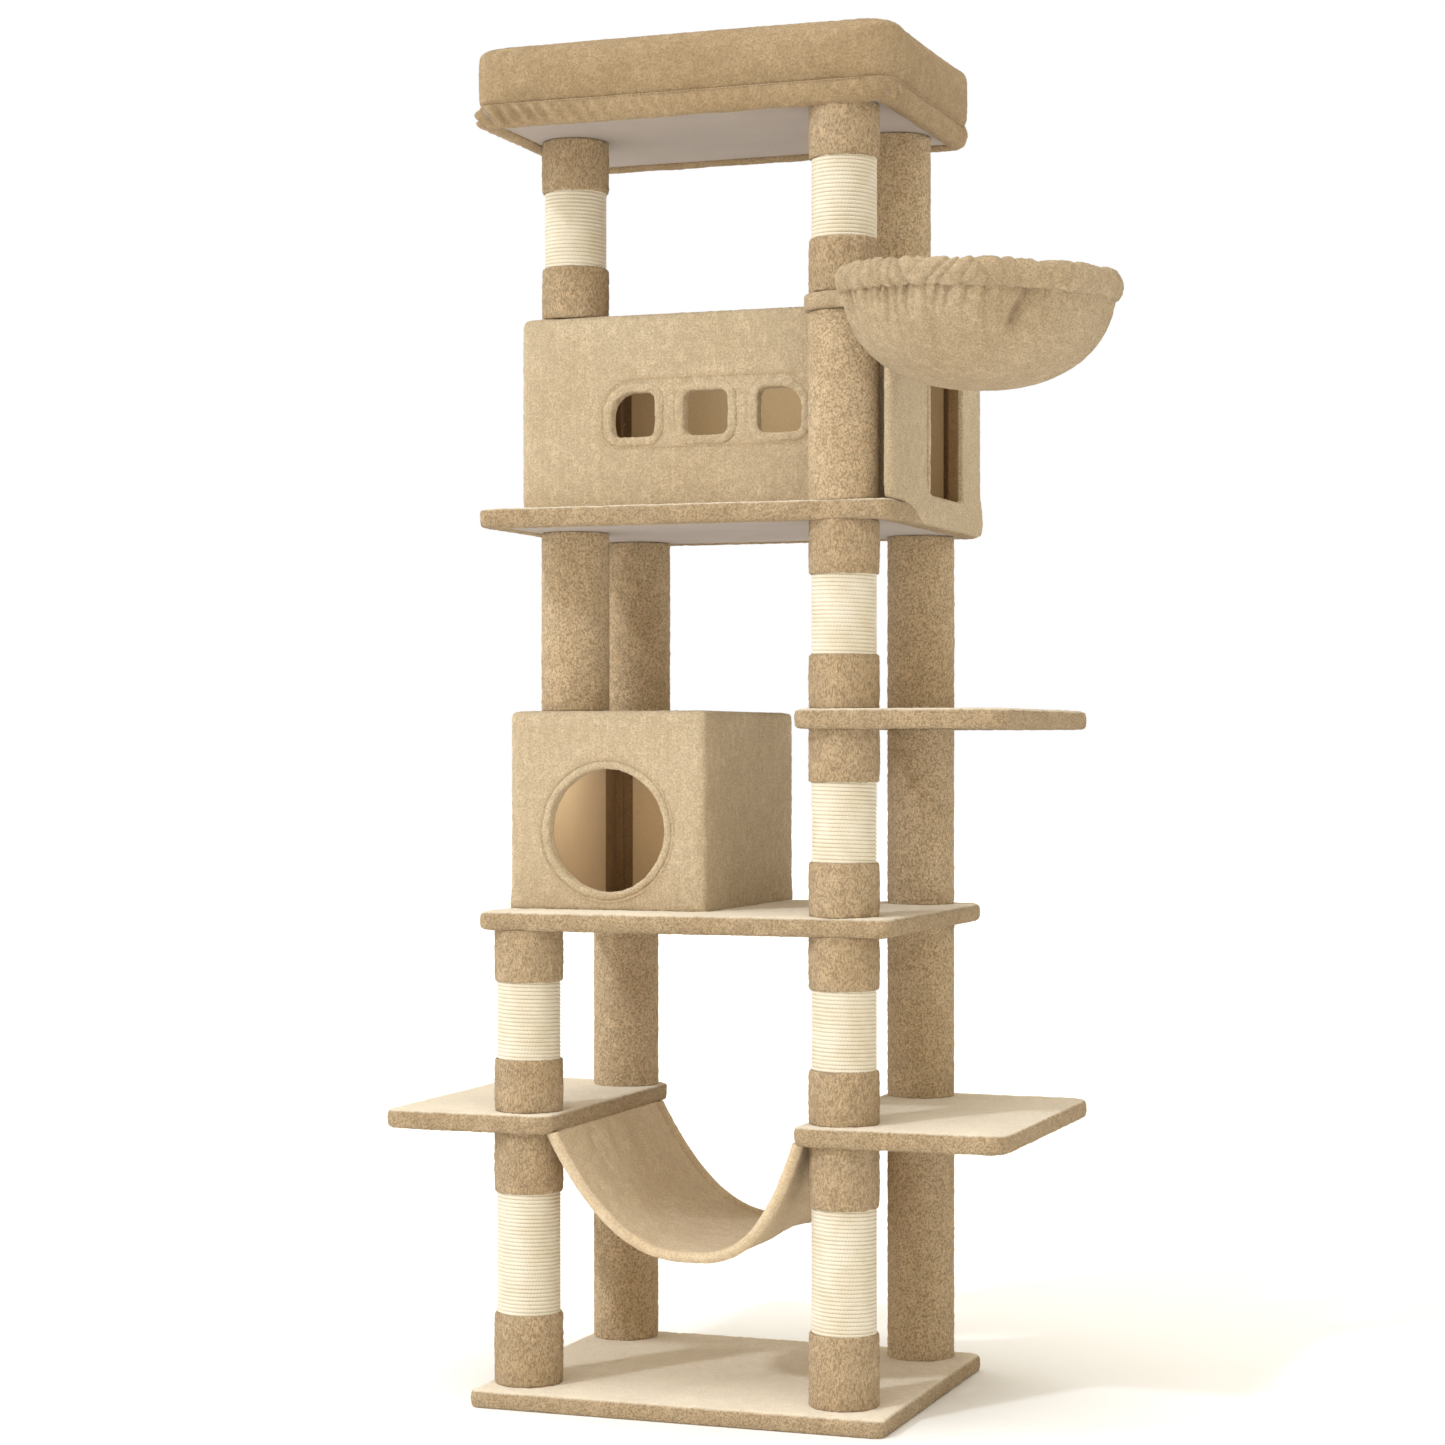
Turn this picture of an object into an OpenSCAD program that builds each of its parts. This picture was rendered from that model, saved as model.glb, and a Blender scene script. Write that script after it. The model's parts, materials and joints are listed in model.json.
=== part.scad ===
// Tall cat tree: seven plush boards on eighteen screwed post segments, two houses,
// a hammock, a swivelling basket and a padded top perch.
// Millimetres, +Z up, +X to the right, +Y to the back.
// The origin is the centre of the base board's underside.

/* [Boards] */
// Width of the base and of the two house floors, over the plush
base_w = 600; // [500:1:720]
// Depth of the base board, over the plush
base_d = 500; // [450:1:600]
// Thickness of every board, over the plush
board_t = 24; // [20:1:30]
// Thickness of the plush skin on boards
plush_t = 4; // [3:0.5:6]
// Corner radius of the large boards
corner_r = 16; // [10:1:22]
// How far the two house floors stand back from the base's front edge
floor_setback = 30; // [0:1:35]

/* [Side ledges] */
// Width of the left ledge
ledge_l_w = 254; // [220:1:300]
// Overhang of the left ledge past the base
ledge_l_out = 140; // [100:1:160]
// Width of the right ledge and of the step above it
ledge_r_w = 298; // [260:1:320]
// Overhang of the right ledge past the base
ledge_r_out = 162; // [130:1:180]
// How far the ledges stand back from the base's front edge
ledge_front = 17; // [0:1:25]
// How far the ledges stand in from the base's back edge
ledge_back = 5; // [0:1:10]
// Corner radius of the ledges and the step
ledge_r = 26; // [16:1:40]

/* [Posts] */
// Length of the leg posts between the base and the ledges
leg_h = 356; // [297:1:427]
// Length of every other post segment
post_h = 256; // [214:1:307]
// Outer radius of the cardboard tube
tube_r = 39.5; // [33:0.5:47]
// Wall of the cardboard tube
tube_wall = 4; // [3:0.5:6]
// Thickness of the sisal rope on the tube
rope_t = 5; // [4:0.5:6]
// Pile thickness of a plush sleeve on the tube
sleeve_t = 9; // [7:0.5:11]
// Pile thickness of a plush collar on the tube
collar_t = 8.5; // [7:0.5:11]
// Height of the collars on the short posts
collar_h = 74; // [55:1:90]
// Height of a leg post's top collar
leg_collar_top = 88; // [60:1:105]
// Height of a leg post's bottom collar
leg_collar_low = 100; // [70:1:125]
// Left edge of the base to the left posts' axes
in_left = 58; // [54:1:70]
// Right edge of the base to the right posts' axes
in_right = 79; // [70:1:90]
// Front edge of the base to the front posts' axes
in_front = 80; // [78:1:90]
// Back edge of the base to the back posts' axes
in_back = 52; // [50:1:60]
// Left edge of the base to the axes of the posts that stand on the lower house
roof_post_in = 77; // [70:1:90]
// Back edge of the base to the axis of the front post on each roof
roof_post_back = 296; // [270:1:300]
// Back edge of the base to the axis of the top plush post
top_post_back = 175; // [150:1:200]

/* [Fasteners] */
// Radius of the M8 studs and bolts
stud_r = 4; // [3:0.5:5]
// Radial clearance of a stud in a hole
stud_gap = 0.05; // [0.02:0.01:0.1]
// Thickness of the wooden plug in each tube end
plug_t = 15; // [12:1:20]
// Thickness of a bolt head
head_h = 5; // [4:0.5:6]
// Radius of a bolt head
head_r = 6.5; // [6:0.5:8]
// Radius of a washer
washer_r = 11; // [9:0.5:13]
// Thickness of a washer
washer_t = 1.6; // [1:0.2:2]

/* [Houses] */
// Thickness of a house wall and roof, over the plush
wall_t = 18; // [15:0.5:22]
// Left edge of the floor to either house
house_in = 12; // [5:1:20]
// Width of the lower house
low_house_w = 296; // [260:1:330]
// Depth of the lower house
low_house_d = 384; // [350:1:390]
// Radius of the round door
door_r = 88; // [70:1:95]
// Height of the round door's centre above the floor
door_z = 112; // [100:1:125]
// Depth of the upper house
high_house_d = 348; // [340:1:352]
// How far the upper house's right wall stands back from its floor's front edge
side_wall_front = 22; // [18:1:26]
// Width of each small window
window_w = 68; // [50:1:74]
// Height of each small window
window_h = 66; // [50:1:80]
// Distance from window to window
window_pitch = 109; // [100:1:120]
// Height of the windows' centre above the floor
window_z = 137; // [120:1:150]
// Distance of the side doorway from the right wall's back edge
side_door_back = 107; // [90:1:120]
// Width of the side doorway
side_door_w = 170; // [150:1:190]
// Height of the side doorway
side_door_h = 212; // [180:1:215]

/* [Hammock] */
// Thickness of the hammock cloth
cloth_t = 5; // [3:0.5:6]
// Depth of the hammock, front to back
hammock_d = 420; // [360:1:440]
// Sag of the hammock below the ledges
hammock_sag = 166; // [120:1:200]
// Thickness of the clamping battens
batten_t = 8; // [6:1:10]
// Length of the clamping battens
batten_l = 220; // [180:1:240]

/* [Basket] */
// Radius of the basket's steel ring, to the middle of the wire
ring_r = 174; // [150:1:180]
// Radius of the ring's wire
wire_r = 4; // [3:0.5:5]
// Post axis to the middle of the ring
ring_reach = 289; // [285:1:300]
// Direction of the basket from its post, clockwise from +X
ring_turn = 36; // [30:1:45]
// Droop of the ring, in degrees
ring_droop = 3.5; // [0:0.5:5]
// Radius of the plush plate around the post
plate_r = 54; // [51:1:60]
// Gap between the plate and each post
plate_gap = 0.3; // [0.2:0.05:0.5]
// Gap below the basket's arm where it swings over the upper house's side wall
arm_gap = 6; // [4:0.5:12]
// Depth of the bowl below its rim
bowl_depth = 124; // [100:1:140]
// Half height of the rolled rim
rim_h = 22; // [16:1:26]
// Half thickness of the rolled rim
rim_t = 11; // [9:1:13]

/* [Perch] */
// How far the perch's cushion stands out past the base on each side
perch_out = 6; // [0:1:15]
// Base's front edge to the perch's front edge
perch_front = 28; // [15:1:30]
// Base's back edge to the perch's back edge
perch_back = 80; // [60:1:100]
// How far the bolster bulges past the perch's board
perch_bulge = 6; // [3:1:10]
// Height of the bolster above the perch board
bolster_h = 77; // [60:1:90]
// Width of the bolster seen from above
bolster_w = 74; // [60:1:90]
// How far the perch's skirt hangs below its board
skirt_drop = 5; // [0:1:8]
// Thickness of the mat inside the bolster
mat_t = 34; // [20:1:45]

/* [Hidden] */
$fn = 64;

// Colours
BEIGE = [0.84, 0.74, 0.58];
WOOD = [0.76, 0.62, 0.44];
CARD = [0.68, 0.55, 0.40];
CREAM = [0.93, 0.89, 0.78];
STEEL = [0.72, 0.72, 0.74];

// Board levels: the underside of each board
Z_LEDGE = board_t + leg_h;
Z_LOWER = Z_LEDGE + board_t + post_h;
Z_STEP = Z_LOWER + board_t + post_h;
Z_UPPER = Z_STEP + board_t + post_h;
Z_PLATE = Z_UPPER + board_t + post_h;
Z_PERCH = Z_PLATE + board_t + post_h;
core_t = board_t - plush_t;

// Edges of the base, and the post axes in plan
X1 = base_w / 2;
Y1 = base_d / 2;
XL = -X1 + in_left;
XR = X1 - in_right;
YF = -Y1 + in_front;
YB = Y1 - in_back;
X_ROOF = -X1 + roof_post_in;
Y_ROOF = Y1 - roof_post_back;
Y_TOP = Y1 - top_post_back;

// Plan of each board over its plush: [low x, low y, high x, high y]
BASE = [-X1, -Y1, X1, Y1];
FLOOR = [-X1, -Y1 + floor_setback, X1, Y1];
LEDGE_Y0 = -Y1 + ledge_front;
LEDGE_Y1 = Y1 - ledge_back;
LEFT = [-X1 - ledge_l_out, LEDGE_Y0, -X1 - ledge_l_out + ledge_l_w, LEDGE_Y1];
RIGHT = [X1 + ledge_r_out - ledge_r_w, LEDGE_Y0, X1 + ledge_r_out, LEDGE_Y1];
PERCH = [-X1 + perch_bulge - perch_out, -Y1 + perch_front,
         X1 - perch_bulge + perch_out, Y1 - perch_back];

// Post segments: [x, y, z of the foot, length]
LEG_FL = [XL, YF, board_t, leg_h];
LEG_FR = [XR, YF, board_t, leg_h];
LEG_BL = [XL, YB, board_t, leg_h];
LEG_BR = [XR, YB, board_t, leg_h];
SECOND_FL = [XL, YF, Z_LEDGE + board_t, post_h];
SECOND_FR = [XR, YF, Z_LEDGE + board_t, post_h];
SECOND_BL = [XL, YB, Z_LEDGE + board_t, post_h];
SECOND_BR = [XR, YB, Z_LEDGE + board_t, post_h];
THIRD_FR = [XR, YF, Z_LOWER + board_t, post_h];
THIRD_BR = [XR, YB, Z_LOWER + board_t, post_h];
FOURTH_FR = [XR, YF, Z_STEP + board_t, post_h];
FOURTH_BR = [XR, YB, Z_STEP + board_t, post_h];
FOURTH_LF = [X_ROOF, Y_ROOF, Z_STEP + board_t, post_h];
FOURTH_LB = [X_ROOF, YB, Z_STEP + board_t, post_h];
FIFTH_FR = [XR, YF, Z_UPPER + board_t, post_h];
TOP_FR = [XR, YF, Z_PLATE + board_t, post_h];
TOP_FL = [X_ROOF, Y_ROOF, Z_PLATE + board_t, post_h];
TOP_BR = [XR, Y_TOP, Z_PLATE + board_t, post_h];
LEGS = [LEG_FL, LEG_FR, LEG_BL, LEG_BR];
POSTS = concat(LEGS, [
    SECOND_FL, SECOND_FR, SECOND_BL, SECOND_BR, THIRD_FR, THIRD_BR,
    FOURTH_FR, FOURTH_BR, FOURTH_LF, FOURTH_LB, FIFTH_FR, TOP_FR, TOP_FL, TOP_BR
]);

// Studs that pass through a board and join two posts: [x, y, board underside]
THROUGH = [
    for (x = [XL, XR], y = [YF, YB]) [x, y, Z_LEDGE],
    for (y = [YF, YB], z = [Z_LOWER, Z_STEP]) [XR, y, z],
    [XR, YF, Z_UPPER], [XR, YF, Z_PLATE]
];
// Studs that end inside the board above their post
BLIND = [
    [XL, YF, Z_LOWER], [XL, YB, Z_LOWER],
    [XR, YB, Z_UPPER], [X_ROOF, Y_ROOF, Z_UPPER], [X_ROOF, YB, Z_UPPER],
    [XR, YF, Z_PERCH], [X_ROOF, Y_ROOF, Z_PERCH], [XR, Y_TOP, Z_PERCH]
];
blind_depth = core_t - 4;
plug_reach = plug_t - 1;
// Bolts that come up through a roof into the post above: [x, y, roof top]
ROOF_BOLTS = [
    [X_ROOF, Y_ROOF, Z_STEP + board_t], [X_ROOF, YB, Z_STEP + board_t],
    [X_ROOF, Y_ROOF, Z_PLATE + board_t], [XR, Y_TOP, Z_PLATE + board_t]
];
sink_h = head_h + washer_t + 1;
hole_r = stud_r + stud_gap;

// House plans and heights
HX0 = -X1 + house_in;
LOW_X1 = HX0 + low_house_w;
LOW_Y0 = Y1 - low_house_d;
HIGH_Y0 = Y1 - high_house_d;
house_h = post_h + board_t;
DOOR_X = (HX0 + LOW_X1) / 2;
WINDOW_X = (HX0 + X1 - wall_t) / 2 - 2;
window_r = 14;
window_big_r = 34;

// Hammock: the cloth's line in plan x and height
HAM_XL = LEFT[2] - cloth_t / 2 - 2;
HAM_XR = RIGHT[0] + cloth_t / 2 + 2;
HAM_LOW = (HAM_XL + HAM_XR) / 2 + 20;
ham_steps = 14;
left_power = 2.3;
right_power = 3.0;
flap_w = 34;
HAM_Y0 = -hammock_d / 2 - 6;

// A rectangle with round corners, from its low and high corners
module round_rect(a, r) {
    translate([a[0] + r, a[1]]) square([a[2] - a[0] - 2 * r, a[3] - a[1]]);
    translate([a[0], a[1] + r]) square([a[2] - a[0], a[3] - a[1] - 2 * r]);
    for (x = [a[0] + r, a[2] - r], y = [a[1] + r, a[3] - r]) translate([x, y]) circle(r);
}

function shrink(a, d) = [a[0] + d, a[1] + d, a[2] - d, a[3] - d];

// Vertical holes for the studs of one list that meet a board at height z
module stud_holes(list, z, low, high) {
    for (s = list)
        if (abs(s[2] - z) < 0.01)
            translate([s[0], s[1], z + low]) cylinder(r = hole_r, h = high - low);
}

// The wooden core of a board
module board_core(plan, r, z) {
    color(WOOD) difference() {
        translate([0, 0, z]) linear_extrude(core_t)
            round_rect(shrink(plan, plush_t), r - plush_t);
        stud_holes(THROUGH, z, -1, board_t);
        stud_holes(BLIND, z, -1, blind_depth);
    }
}

// The plush skin over a board's top and edges, down to drop below its underside
module board_cover(plan, r, z, drop = 0) {
    color(BEIGE) difference() {
        translate([0, 0, z - drop]) linear_extrude(board_t + drop) round_rect(plan, r);
        translate([0, 0, z - drop - 1]) linear_extrude(core_t + drop + 1)
            round_rect(shrink(plan, plush_t), r - plush_t);
        stud_holes(THROUGH, z, core_t - 1, board_t + 1);
    }
}

module base_board() {
    color(WOOD) difference() {
        linear_extrude(core_t) round_rect(shrink(BASE, plush_t), corner_r - plush_t);
        for (p = LEGS) translate([p[0], p[1], -1]) {
            cylinder(r = hole_r, h = board_t);
            cylinder(r = washer_r + 1, h = sink_h + 1);
        }
    }
}

module base_cover() {
    color(BEIGE) difference() {
        linear_extrude(board_t) round_rect(BASE, corner_r);
        translate([0, 0, -1]) linear_extrude(core_t + 1)
            round_rect(shrink(BASE, plush_t), corner_r - plush_t);
        for (p = LEGS) translate([p[0], p[1], 0]) cylinder(r = hole_r, h = board_t + 1);
    }
}

// A ring of a given outer radius around a post's tube
module post_ring(p, from, to, t) {
    translate([p[0], p[1], p[2] + from]) difference() {
        cylinder(r = tube_r + t, h = to - from);
        translate([0, 0, -1]) cylinder(r = tube_r, h = to - from + 2);
    }
}

module rope_wrap(p, low = collar_h, top = collar_h) {
    color(CREAM) post_ring(p, low, p[3] - top, rope_t);
}

module sleeve(p) {
    color(BEIGE) post_ring(p, 0, p[3], sleeve_t);
}

module collars(list, low = collar_h, top = collar_h) {
    color(BEIGE) for (p = list) {
        post_ring(p, 0, low, collar_t);
        post_ring(p, p[3] - top, p[3], collar_t);
    }
}

module post_tubes() {
    color(CARD) for (p = POSTS) translate([p[0], p[1], p[2]]) difference() {
        cylinder(r = tube_r, h = p[3]);
        translate([0, 0, -1]) cylinder(r = tube_r - tube_wall, h = p[3] + 2);
    }
}

module post_plugs() {
    color(WOOD) for (p = POSTS, end = [0, p[3] - plug_t])
        translate([p[0], p[1], p[2] + end]) difference() {
            cylinder(r = tube_r - tube_wall, h = plug_t);
            translate([0, 0, -1]) cylinder(r = hole_r, h = plug_t + 2);
        }
}

module post_studs() {
    color(STEEL) {
        for (s = THROUGH) translate([s[0], s[1], s[2] - plug_reach])
            cylinder(r = stud_r, h = board_t + 2 * plug_reach);
        for (s = BLIND) translate([s[0], s[1], s[2] - plug_reach])
            cylinder(r = stud_r, h = blind_depth + plug_reach);
    }
}

module base_bolts() {
    color(STEEL) for (p = LEGS) translate([p[0], p[1], 0]) {
        translate([0, 0, sink_h - washer_t - head_h]) cylinder(r = head_r, h = head_h, $fn = 6);
        translate([0, 0, sink_h - washer_t]) cylinder(r = stud_r, h = board_t + plug_reach - sink_h);
    }
}

module base_washers() {
    color(STEEL) for (p = LEGS) translate([p[0], p[1], sink_h - washer_t]) difference() {
        cylinder(r = washer_r, h = washer_t);
        translate([0, 0, -1]) cylinder(r = hole_r, h = washer_t + 2);
    }
}

module roof_bolts() {
    color(STEEL) for (s = ROOF_BOLTS) translate([s[0], s[1], s[2] - wall_t]) {
        translate([0, 0, -head_h]) cylinder(r = head_r, h = head_h, $fn = 6);
        cylinder(r = stud_r, h = wall_t + plug_reach);
    }
}

// A flat roof between the walls, with its bolt holes
module house_roof(x0, x1, y0, z) {
    color(BEIGE) difference() {
        translate([x0, y0, z + house_h - wall_t]) cube([x1 - x0, Y1 - wall_t - y0, wall_t]);
        for (s = ROOF_BOLTS)
            translate([s[0], s[1], z + house_h - wall_t - 1]) cylinder(r = hole_r, h = wall_t + 2);
    }
}

module house_side(x, y0, z) {
    color(BEIGE) translate([x, y0, z]) cube([wall_t, Y1 - wall_t - y0, house_h]);
}

module house_back(x0, x1, z) {
    color(BEIGE) translate([x0, Y1 - wall_t, z]) cube([x1 - x0, wall_t, house_h]);
}

module lower_house_front() {
    z = Z_LOWER + board_t;
    color(BEIGE) difference() {
        translate([HX0, LOW_Y0, z]) cube([low_house_w, wall_t, house_h]);
        translate([DOOR_X, LOW_Y0 - 1, z + door_z]) rotate([-90, 0, 0])
            cylinder(r = door_r, h = wall_t + 2);
    }
}

// A window outline, centred, with one larger upper corner; side is 1, 0 or -1
module window_outline(side) {
    w = window_w / 2;
    h = window_h / 2;
    difference() {
        round_rect([-w, -h, w, h], window_r);
        if (side != 0) translate([side * (w - window_big_r), h - window_big_r]) difference() {
            translate([side > 0 ? 0 : -window_big_r - 1, 0]) square(window_big_r + 1);
            circle(window_big_r);
        }
    }
}

module upper_house_front() {
    z = Z_UPPER + board_t;
    color(BEIGE) difference() {
        translate([HX0, HIGH_Y0, z]) cube([X1 - wall_t - HX0, wall_t, house_h]);
        for (i = [-1, 0, 1])
            translate([WINDOW_X + i * window_pitch, HIGH_Y0 + wall_t + 1, z + window_z])
                rotate([90, 0, 0]) linear_extrude(wall_t + 2) window_outline(i);
    }
}

module upper_house_right() {
    z = Z_UPPER + board_t;
    r = 26;
    y0 = FLOOR[1] + side_wall_front;
    dy = Y1 - side_door_back - side_door_w;
    color(BEIGE) difference() {
        translate([X1 - wall_t, y0, z]) cube([wall_t, Y1 - y0, house_h]);
        // The front strip stops below the basket's arm, which swings over it
        translate([X1 - wall_t - 1, y0 - 1, Z_PLATE - arm_gap])
            cube([wall_t + 2, HIGH_Y0 - y0 + 1, board_t + house_h]);
        translate([X1 + 1, dy, z]) rotate([0, -90, 0]) linear_extrude(wall_t + 2)
            union() {
                translate([-1, 0]) square([side_door_h - r + 1, side_door_w]);
                translate([-1, r]) square([side_door_h + 1, side_door_w - 2 * r]);
                for (y = [r, side_door_w - r]) translate([side_door_h - r, y]) circle(r);
            }
    }
}

// Points of the hammock's middle line, from the left ledge to the right one
function ham_z(x) = let (
        left = x < HAM_LOW,
        u = left ? (HAM_LOW - x) / (HAM_LOW - HAM_XL) : (x - HAM_LOW) / (HAM_XR - HAM_LOW)
    ) Z_LEDGE - hammock_sag + cloth_t / 2 + (hammock_sag - cloth_t / 2) * pow(u, left ? left_power : right_power);
function ham_x(u) = u < 0
    ? HAM_LOW + (HAM_LOW - HAM_XL) * -pow(-u, 0.8)
    : HAM_LOW + (HAM_XR - HAM_LOW) * pow(u, 0.8);
HAM_LINE = [for (i = [-ham_steps:ham_steps]) let (x = ham_x(i / ham_steps)) [x, ham_z(x)]];

function unit(v) = v / norm(v);
function left_normal(a, b) = let (d = unit(b - a)) [-d[1], d[0]];
function line_normal(p, i) =
    i == 0 ? [1, 0] :
    i == len(p) - 1 ? [-1, 0] :
    unit(left_normal(p[i - 1], p[i]) + left_normal(p[i], p[i + 1]));

// The cloth: one bent sheet, with a flap clamped under each ledge
module hammock() {
    n = len(HAM_LINE) - 1;
    inner = [for (i = [0:n]) HAM_LINE[i] + line_normal(HAM_LINE, i) * cloth_t / 2];
    outer = [for (i = [n:-1:0]) HAM_LINE[i] - line_normal(HAM_LINE, i) * cloth_t / 2];
    color(BEIGE) {
        translate([0, HAM_Y0 + hammock_d, 0]) rotate([90, 0, 0]) linear_extrude(hammock_d)
            polygon(concat(inner, outer));
        for (s = [[HAM_XL, -1], [HAM_XR, 1]])
            translate([s[0] + (s[1] < 0 ? -flap_w : 0), HAM_Y0 + (hammock_d - batten_l) / 2,
                       Z_LEDGE - cloth_t]) cube([flap_w, batten_l, cloth_t]);
    }
}

module hammock_battens() {
    color(WOOD) for (s = [[HAM_XL, -1], [HAM_XR, 1]])
        translate([s[0] + (s[1] < 0 ? -flap_w : cloth_t / 2), HAM_Y0 + (hammock_d - batten_l) / 2,
                   Z_LEDGE - cloth_t - batten_t]) cube([flap_w - cloth_t / 2, batten_l, batten_t]);
}

// Places the basket's pieces: x runs along the arm, and the ring droops from the plate's edge
module on_arm() {
    translate([XR, YF, Z_PLATE + board_t / 2]) rotate([0, 0, -ring_turn]) children();
}
module drooped() {
    translate([plate_r, 0, 0]) rotate([0, ring_droop, 0]) translate([-plate_r, 0, 0]) children();
}
tongue_end = ring_reach - ring_r - rim_t - 4;
tongue_w = 76;
prong_y = 22;
prong_in = 40;

module basket_plate() {
    t = board_t - 2 * plate_gap;
    color(BEIGE) on_arm() difference() {
        translate([0, 0, -t / 2]) linear_extrude(t) {
            circle(plate_r);
            translate([0, -tongue_w / 2]) square([tongue_end - 12, tongue_w]);
            translate([0, 12 - tongue_w / 2]) square([tongue_end, tongue_w - 24]);
            for (y = [-1, 1]) translate([tongue_end - 12, y * (tongue_w / 2 - 12)]) circle(12);
        }
        translate([0, 0, -board_t]) cylinder(r = hole_r, h = 2 * board_t);
        drooped() for (y = [-prong_y, prong_y])
            translate([tongue_end - prong_in, y, 0]) rotate([0, 90, 0])
                cylinder(r = wire_r + stud_gap, h = prong_in + 5);
    }
}

// The steel ring with its two prongs
module basket_hoop() {
    prong_from = tongue_end - prong_in;
    prong_to = ring_reach - sqrt(ring_r * ring_r - prong_y * prong_y);
    color(STEEL) on_arm() drooped() {
        translate([ring_reach, 0, 0]) rotate_extrude() translate([ring_r, 0]) circle(wire_r);
        for (y = [-prong_y, prong_y])
            translate([prong_from, y, 0]) rotate([0, 90, 0])
                cylinder(r = wire_r, h = prong_to - prong_from);
    }
}

// The plush bowl sewn round the ring: a rolled rim and an elliptic shell below it
module basket_bowl() {
    steps = 12;
    top_r = ring_r - 5;
    start = 8;
    skin = [for (i = [0:steps]) let (a = 90 * i / steps)
        [top_r * cos(a), -start - (bowl_depth - start) * sin(a)]];
    lining = [for (i = [steps:-1:0]) let (a = 90 * i / steps)
        [(top_r - cloth_t) * cos(a), -start - (bowl_depth - start - cloth_t) * sin(a)]];
    rim = [for (i = [0:31]) let (a = 360 * i / 32) [ring_r + rim_t * cos(a), rim_h * sin(a)]];
    color(BEIGE) on_arm() drooped() difference() {
        translate([ring_reach, 0, 0]) union() {
            rotate_extrude() polygon(rim);
            rotate_extrude() polygon(concat(skin, lining));
        }
        translate([ring_reach, 0, 0]) rotate_extrude() translate([ring_r, 0])
            circle(wire_r + stud_gap);
        for (y = [-prong_y, prong_y])
            translate([0, y, 0]) rotate([0, 90, 0])
                cylinder(r = wire_r + stud_gap, h = ring_reach - ring_r + 5);
    }
}

// The padded rim round the perch
module perch_bolster() {
    outer = shrink(PERCH, -perch_bulge);
    r = 40;
    color(BEIGE) translate([0, 0, Z_PERCH + board_t]) linear_extrude(bolster_h) difference() {
        round_rect(outer, r);
        round_rect(shrink(outer, bolster_w), r / 4);
    }
}

module perch_mat() {
    color(BEIGE) translate([0, 0, Z_PERCH + board_t]) linear_extrude(mat_t)
        round_rect(shrink(PERCH, bolster_w - perch_bulge + 2), 18);
}

base_board();
base_cover();
board_core(LEFT, ledge_r, Z_LEDGE);  // left_ledge_board
board_cover(LEFT, ledge_r, Z_LEDGE);  // left_ledge_cover
board_core(RIGHT, ledge_r, Z_LEDGE);  // right_ledge_board
board_cover(RIGHT, ledge_r, Z_LEDGE);  // right_ledge_cover
board_core(FLOOR, corner_r, Z_LOWER);  // lower_floor_board
board_cover(FLOOR, corner_r, Z_LOWER);  // lower_floor_cover
board_core(RIGHT, ledge_r, Z_STEP);  // step_board
board_cover(RIGHT, ledge_r, Z_STEP);  // step_cover
board_core(FLOOR, corner_r, Z_UPPER);  // upper_floor_board
board_cover(FLOOR, corner_r, Z_UPPER);  // upper_floor_cover
board_core(PERCH, corner_r, Z_PERCH);  // perch_board
board_cover(PERCH, corner_r, Z_PERCH, skirt_drop);  // perch_cover
perch_bolster();
perch_mat();
rope_wrap(LEG_FL, leg_collar_low, leg_collar_top);  // rope_leg_left
rope_wrap(LEG_FR, leg_collar_low, leg_collar_top);  // rope_leg_right
rope_wrap(SECOND_FL);  // rope_second_left
rope_wrap(SECOND_FR);  // rope_second_right
rope_wrap(THIRD_FR);  // rope_third
rope_wrap(FOURTH_FR);  // rope_fourth
rope_wrap(TOP_FL);  // rope_top_left
rope_wrap(TOP_FR);  // rope_top_right
sleeve(LEG_BL);  // sleeve_leg_left
sleeve(LEG_BR);  // sleeve_leg_right
sleeve(SECOND_BL);  // sleeve_second_left
sleeve(SECOND_BR);  // sleeve_second_right
sleeve(THIRD_BR);  // sleeve_third
sleeve(FOURTH_BR);  // sleeve_fourth_right
sleeve(FOURTH_LF);  // sleeve_fourth_front
sleeve(FOURTH_LB);  // sleeve_fourth_back
sleeve(FIFTH_FR);  // sleeve_fifth
sleeve(TOP_BR);  // sleeve_top
collars([LEG_FL, LEG_FR], leg_collar_low, leg_collar_top);  // collars_leg
collars([SECOND_FL, SECOND_FR]);  // collars_second
collars([THIRD_FR]);  // collars_third
collars([FOURTH_FR]);  // collars_fourth
collars([TOP_FR, TOP_FL]);  // collars_top
post_tubes();
post_plugs();
post_studs();
base_bolts();
base_washers();
roof_bolts();
lower_house_front();
house_back(HX0, LOW_X1, Z_LOWER + board_t);  // lower_house_back
house_side(HX0, LOW_Y0 + wall_t, Z_LOWER + board_t);  // lower_house_left
house_side(LOW_X1 - wall_t, LOW_Y0 + wall_t, Z_LOWER + board_t);  // lower_house_right
house_roof(HX0 + wall_t, LOW_X1 - wall_t, LOW_Y0 + wall_t, Z_LOWER + board_t);  // lower_house_roof
upper_house_front();
house_back(HX0, X1 - wall_t, Z_UPPER + board_t);  // upper_house_back
house_side(HX0, HIGH_Y0 + wall_t, Z_UPPER + board_t);  // upper_house_left
upper_house_right();
house_roof(HX0 + wall_t, X1 - wall_t, HIGH_Y0 + wall_t, Z_UPPER + board_t);  // upper_house_roof
hammock();
hammock_battens();
basket_plate();
basket_hoop();
basket_bowl();
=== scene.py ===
"""Looks of a tall plush cat tree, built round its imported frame.

Metres, +Z up, +X to the right, +Y to the back, origin under the middle of the base.
"""

import json
import math

import bmesh
import bpy
import numpy as np
from mathutils import Matrix, Vector


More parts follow.
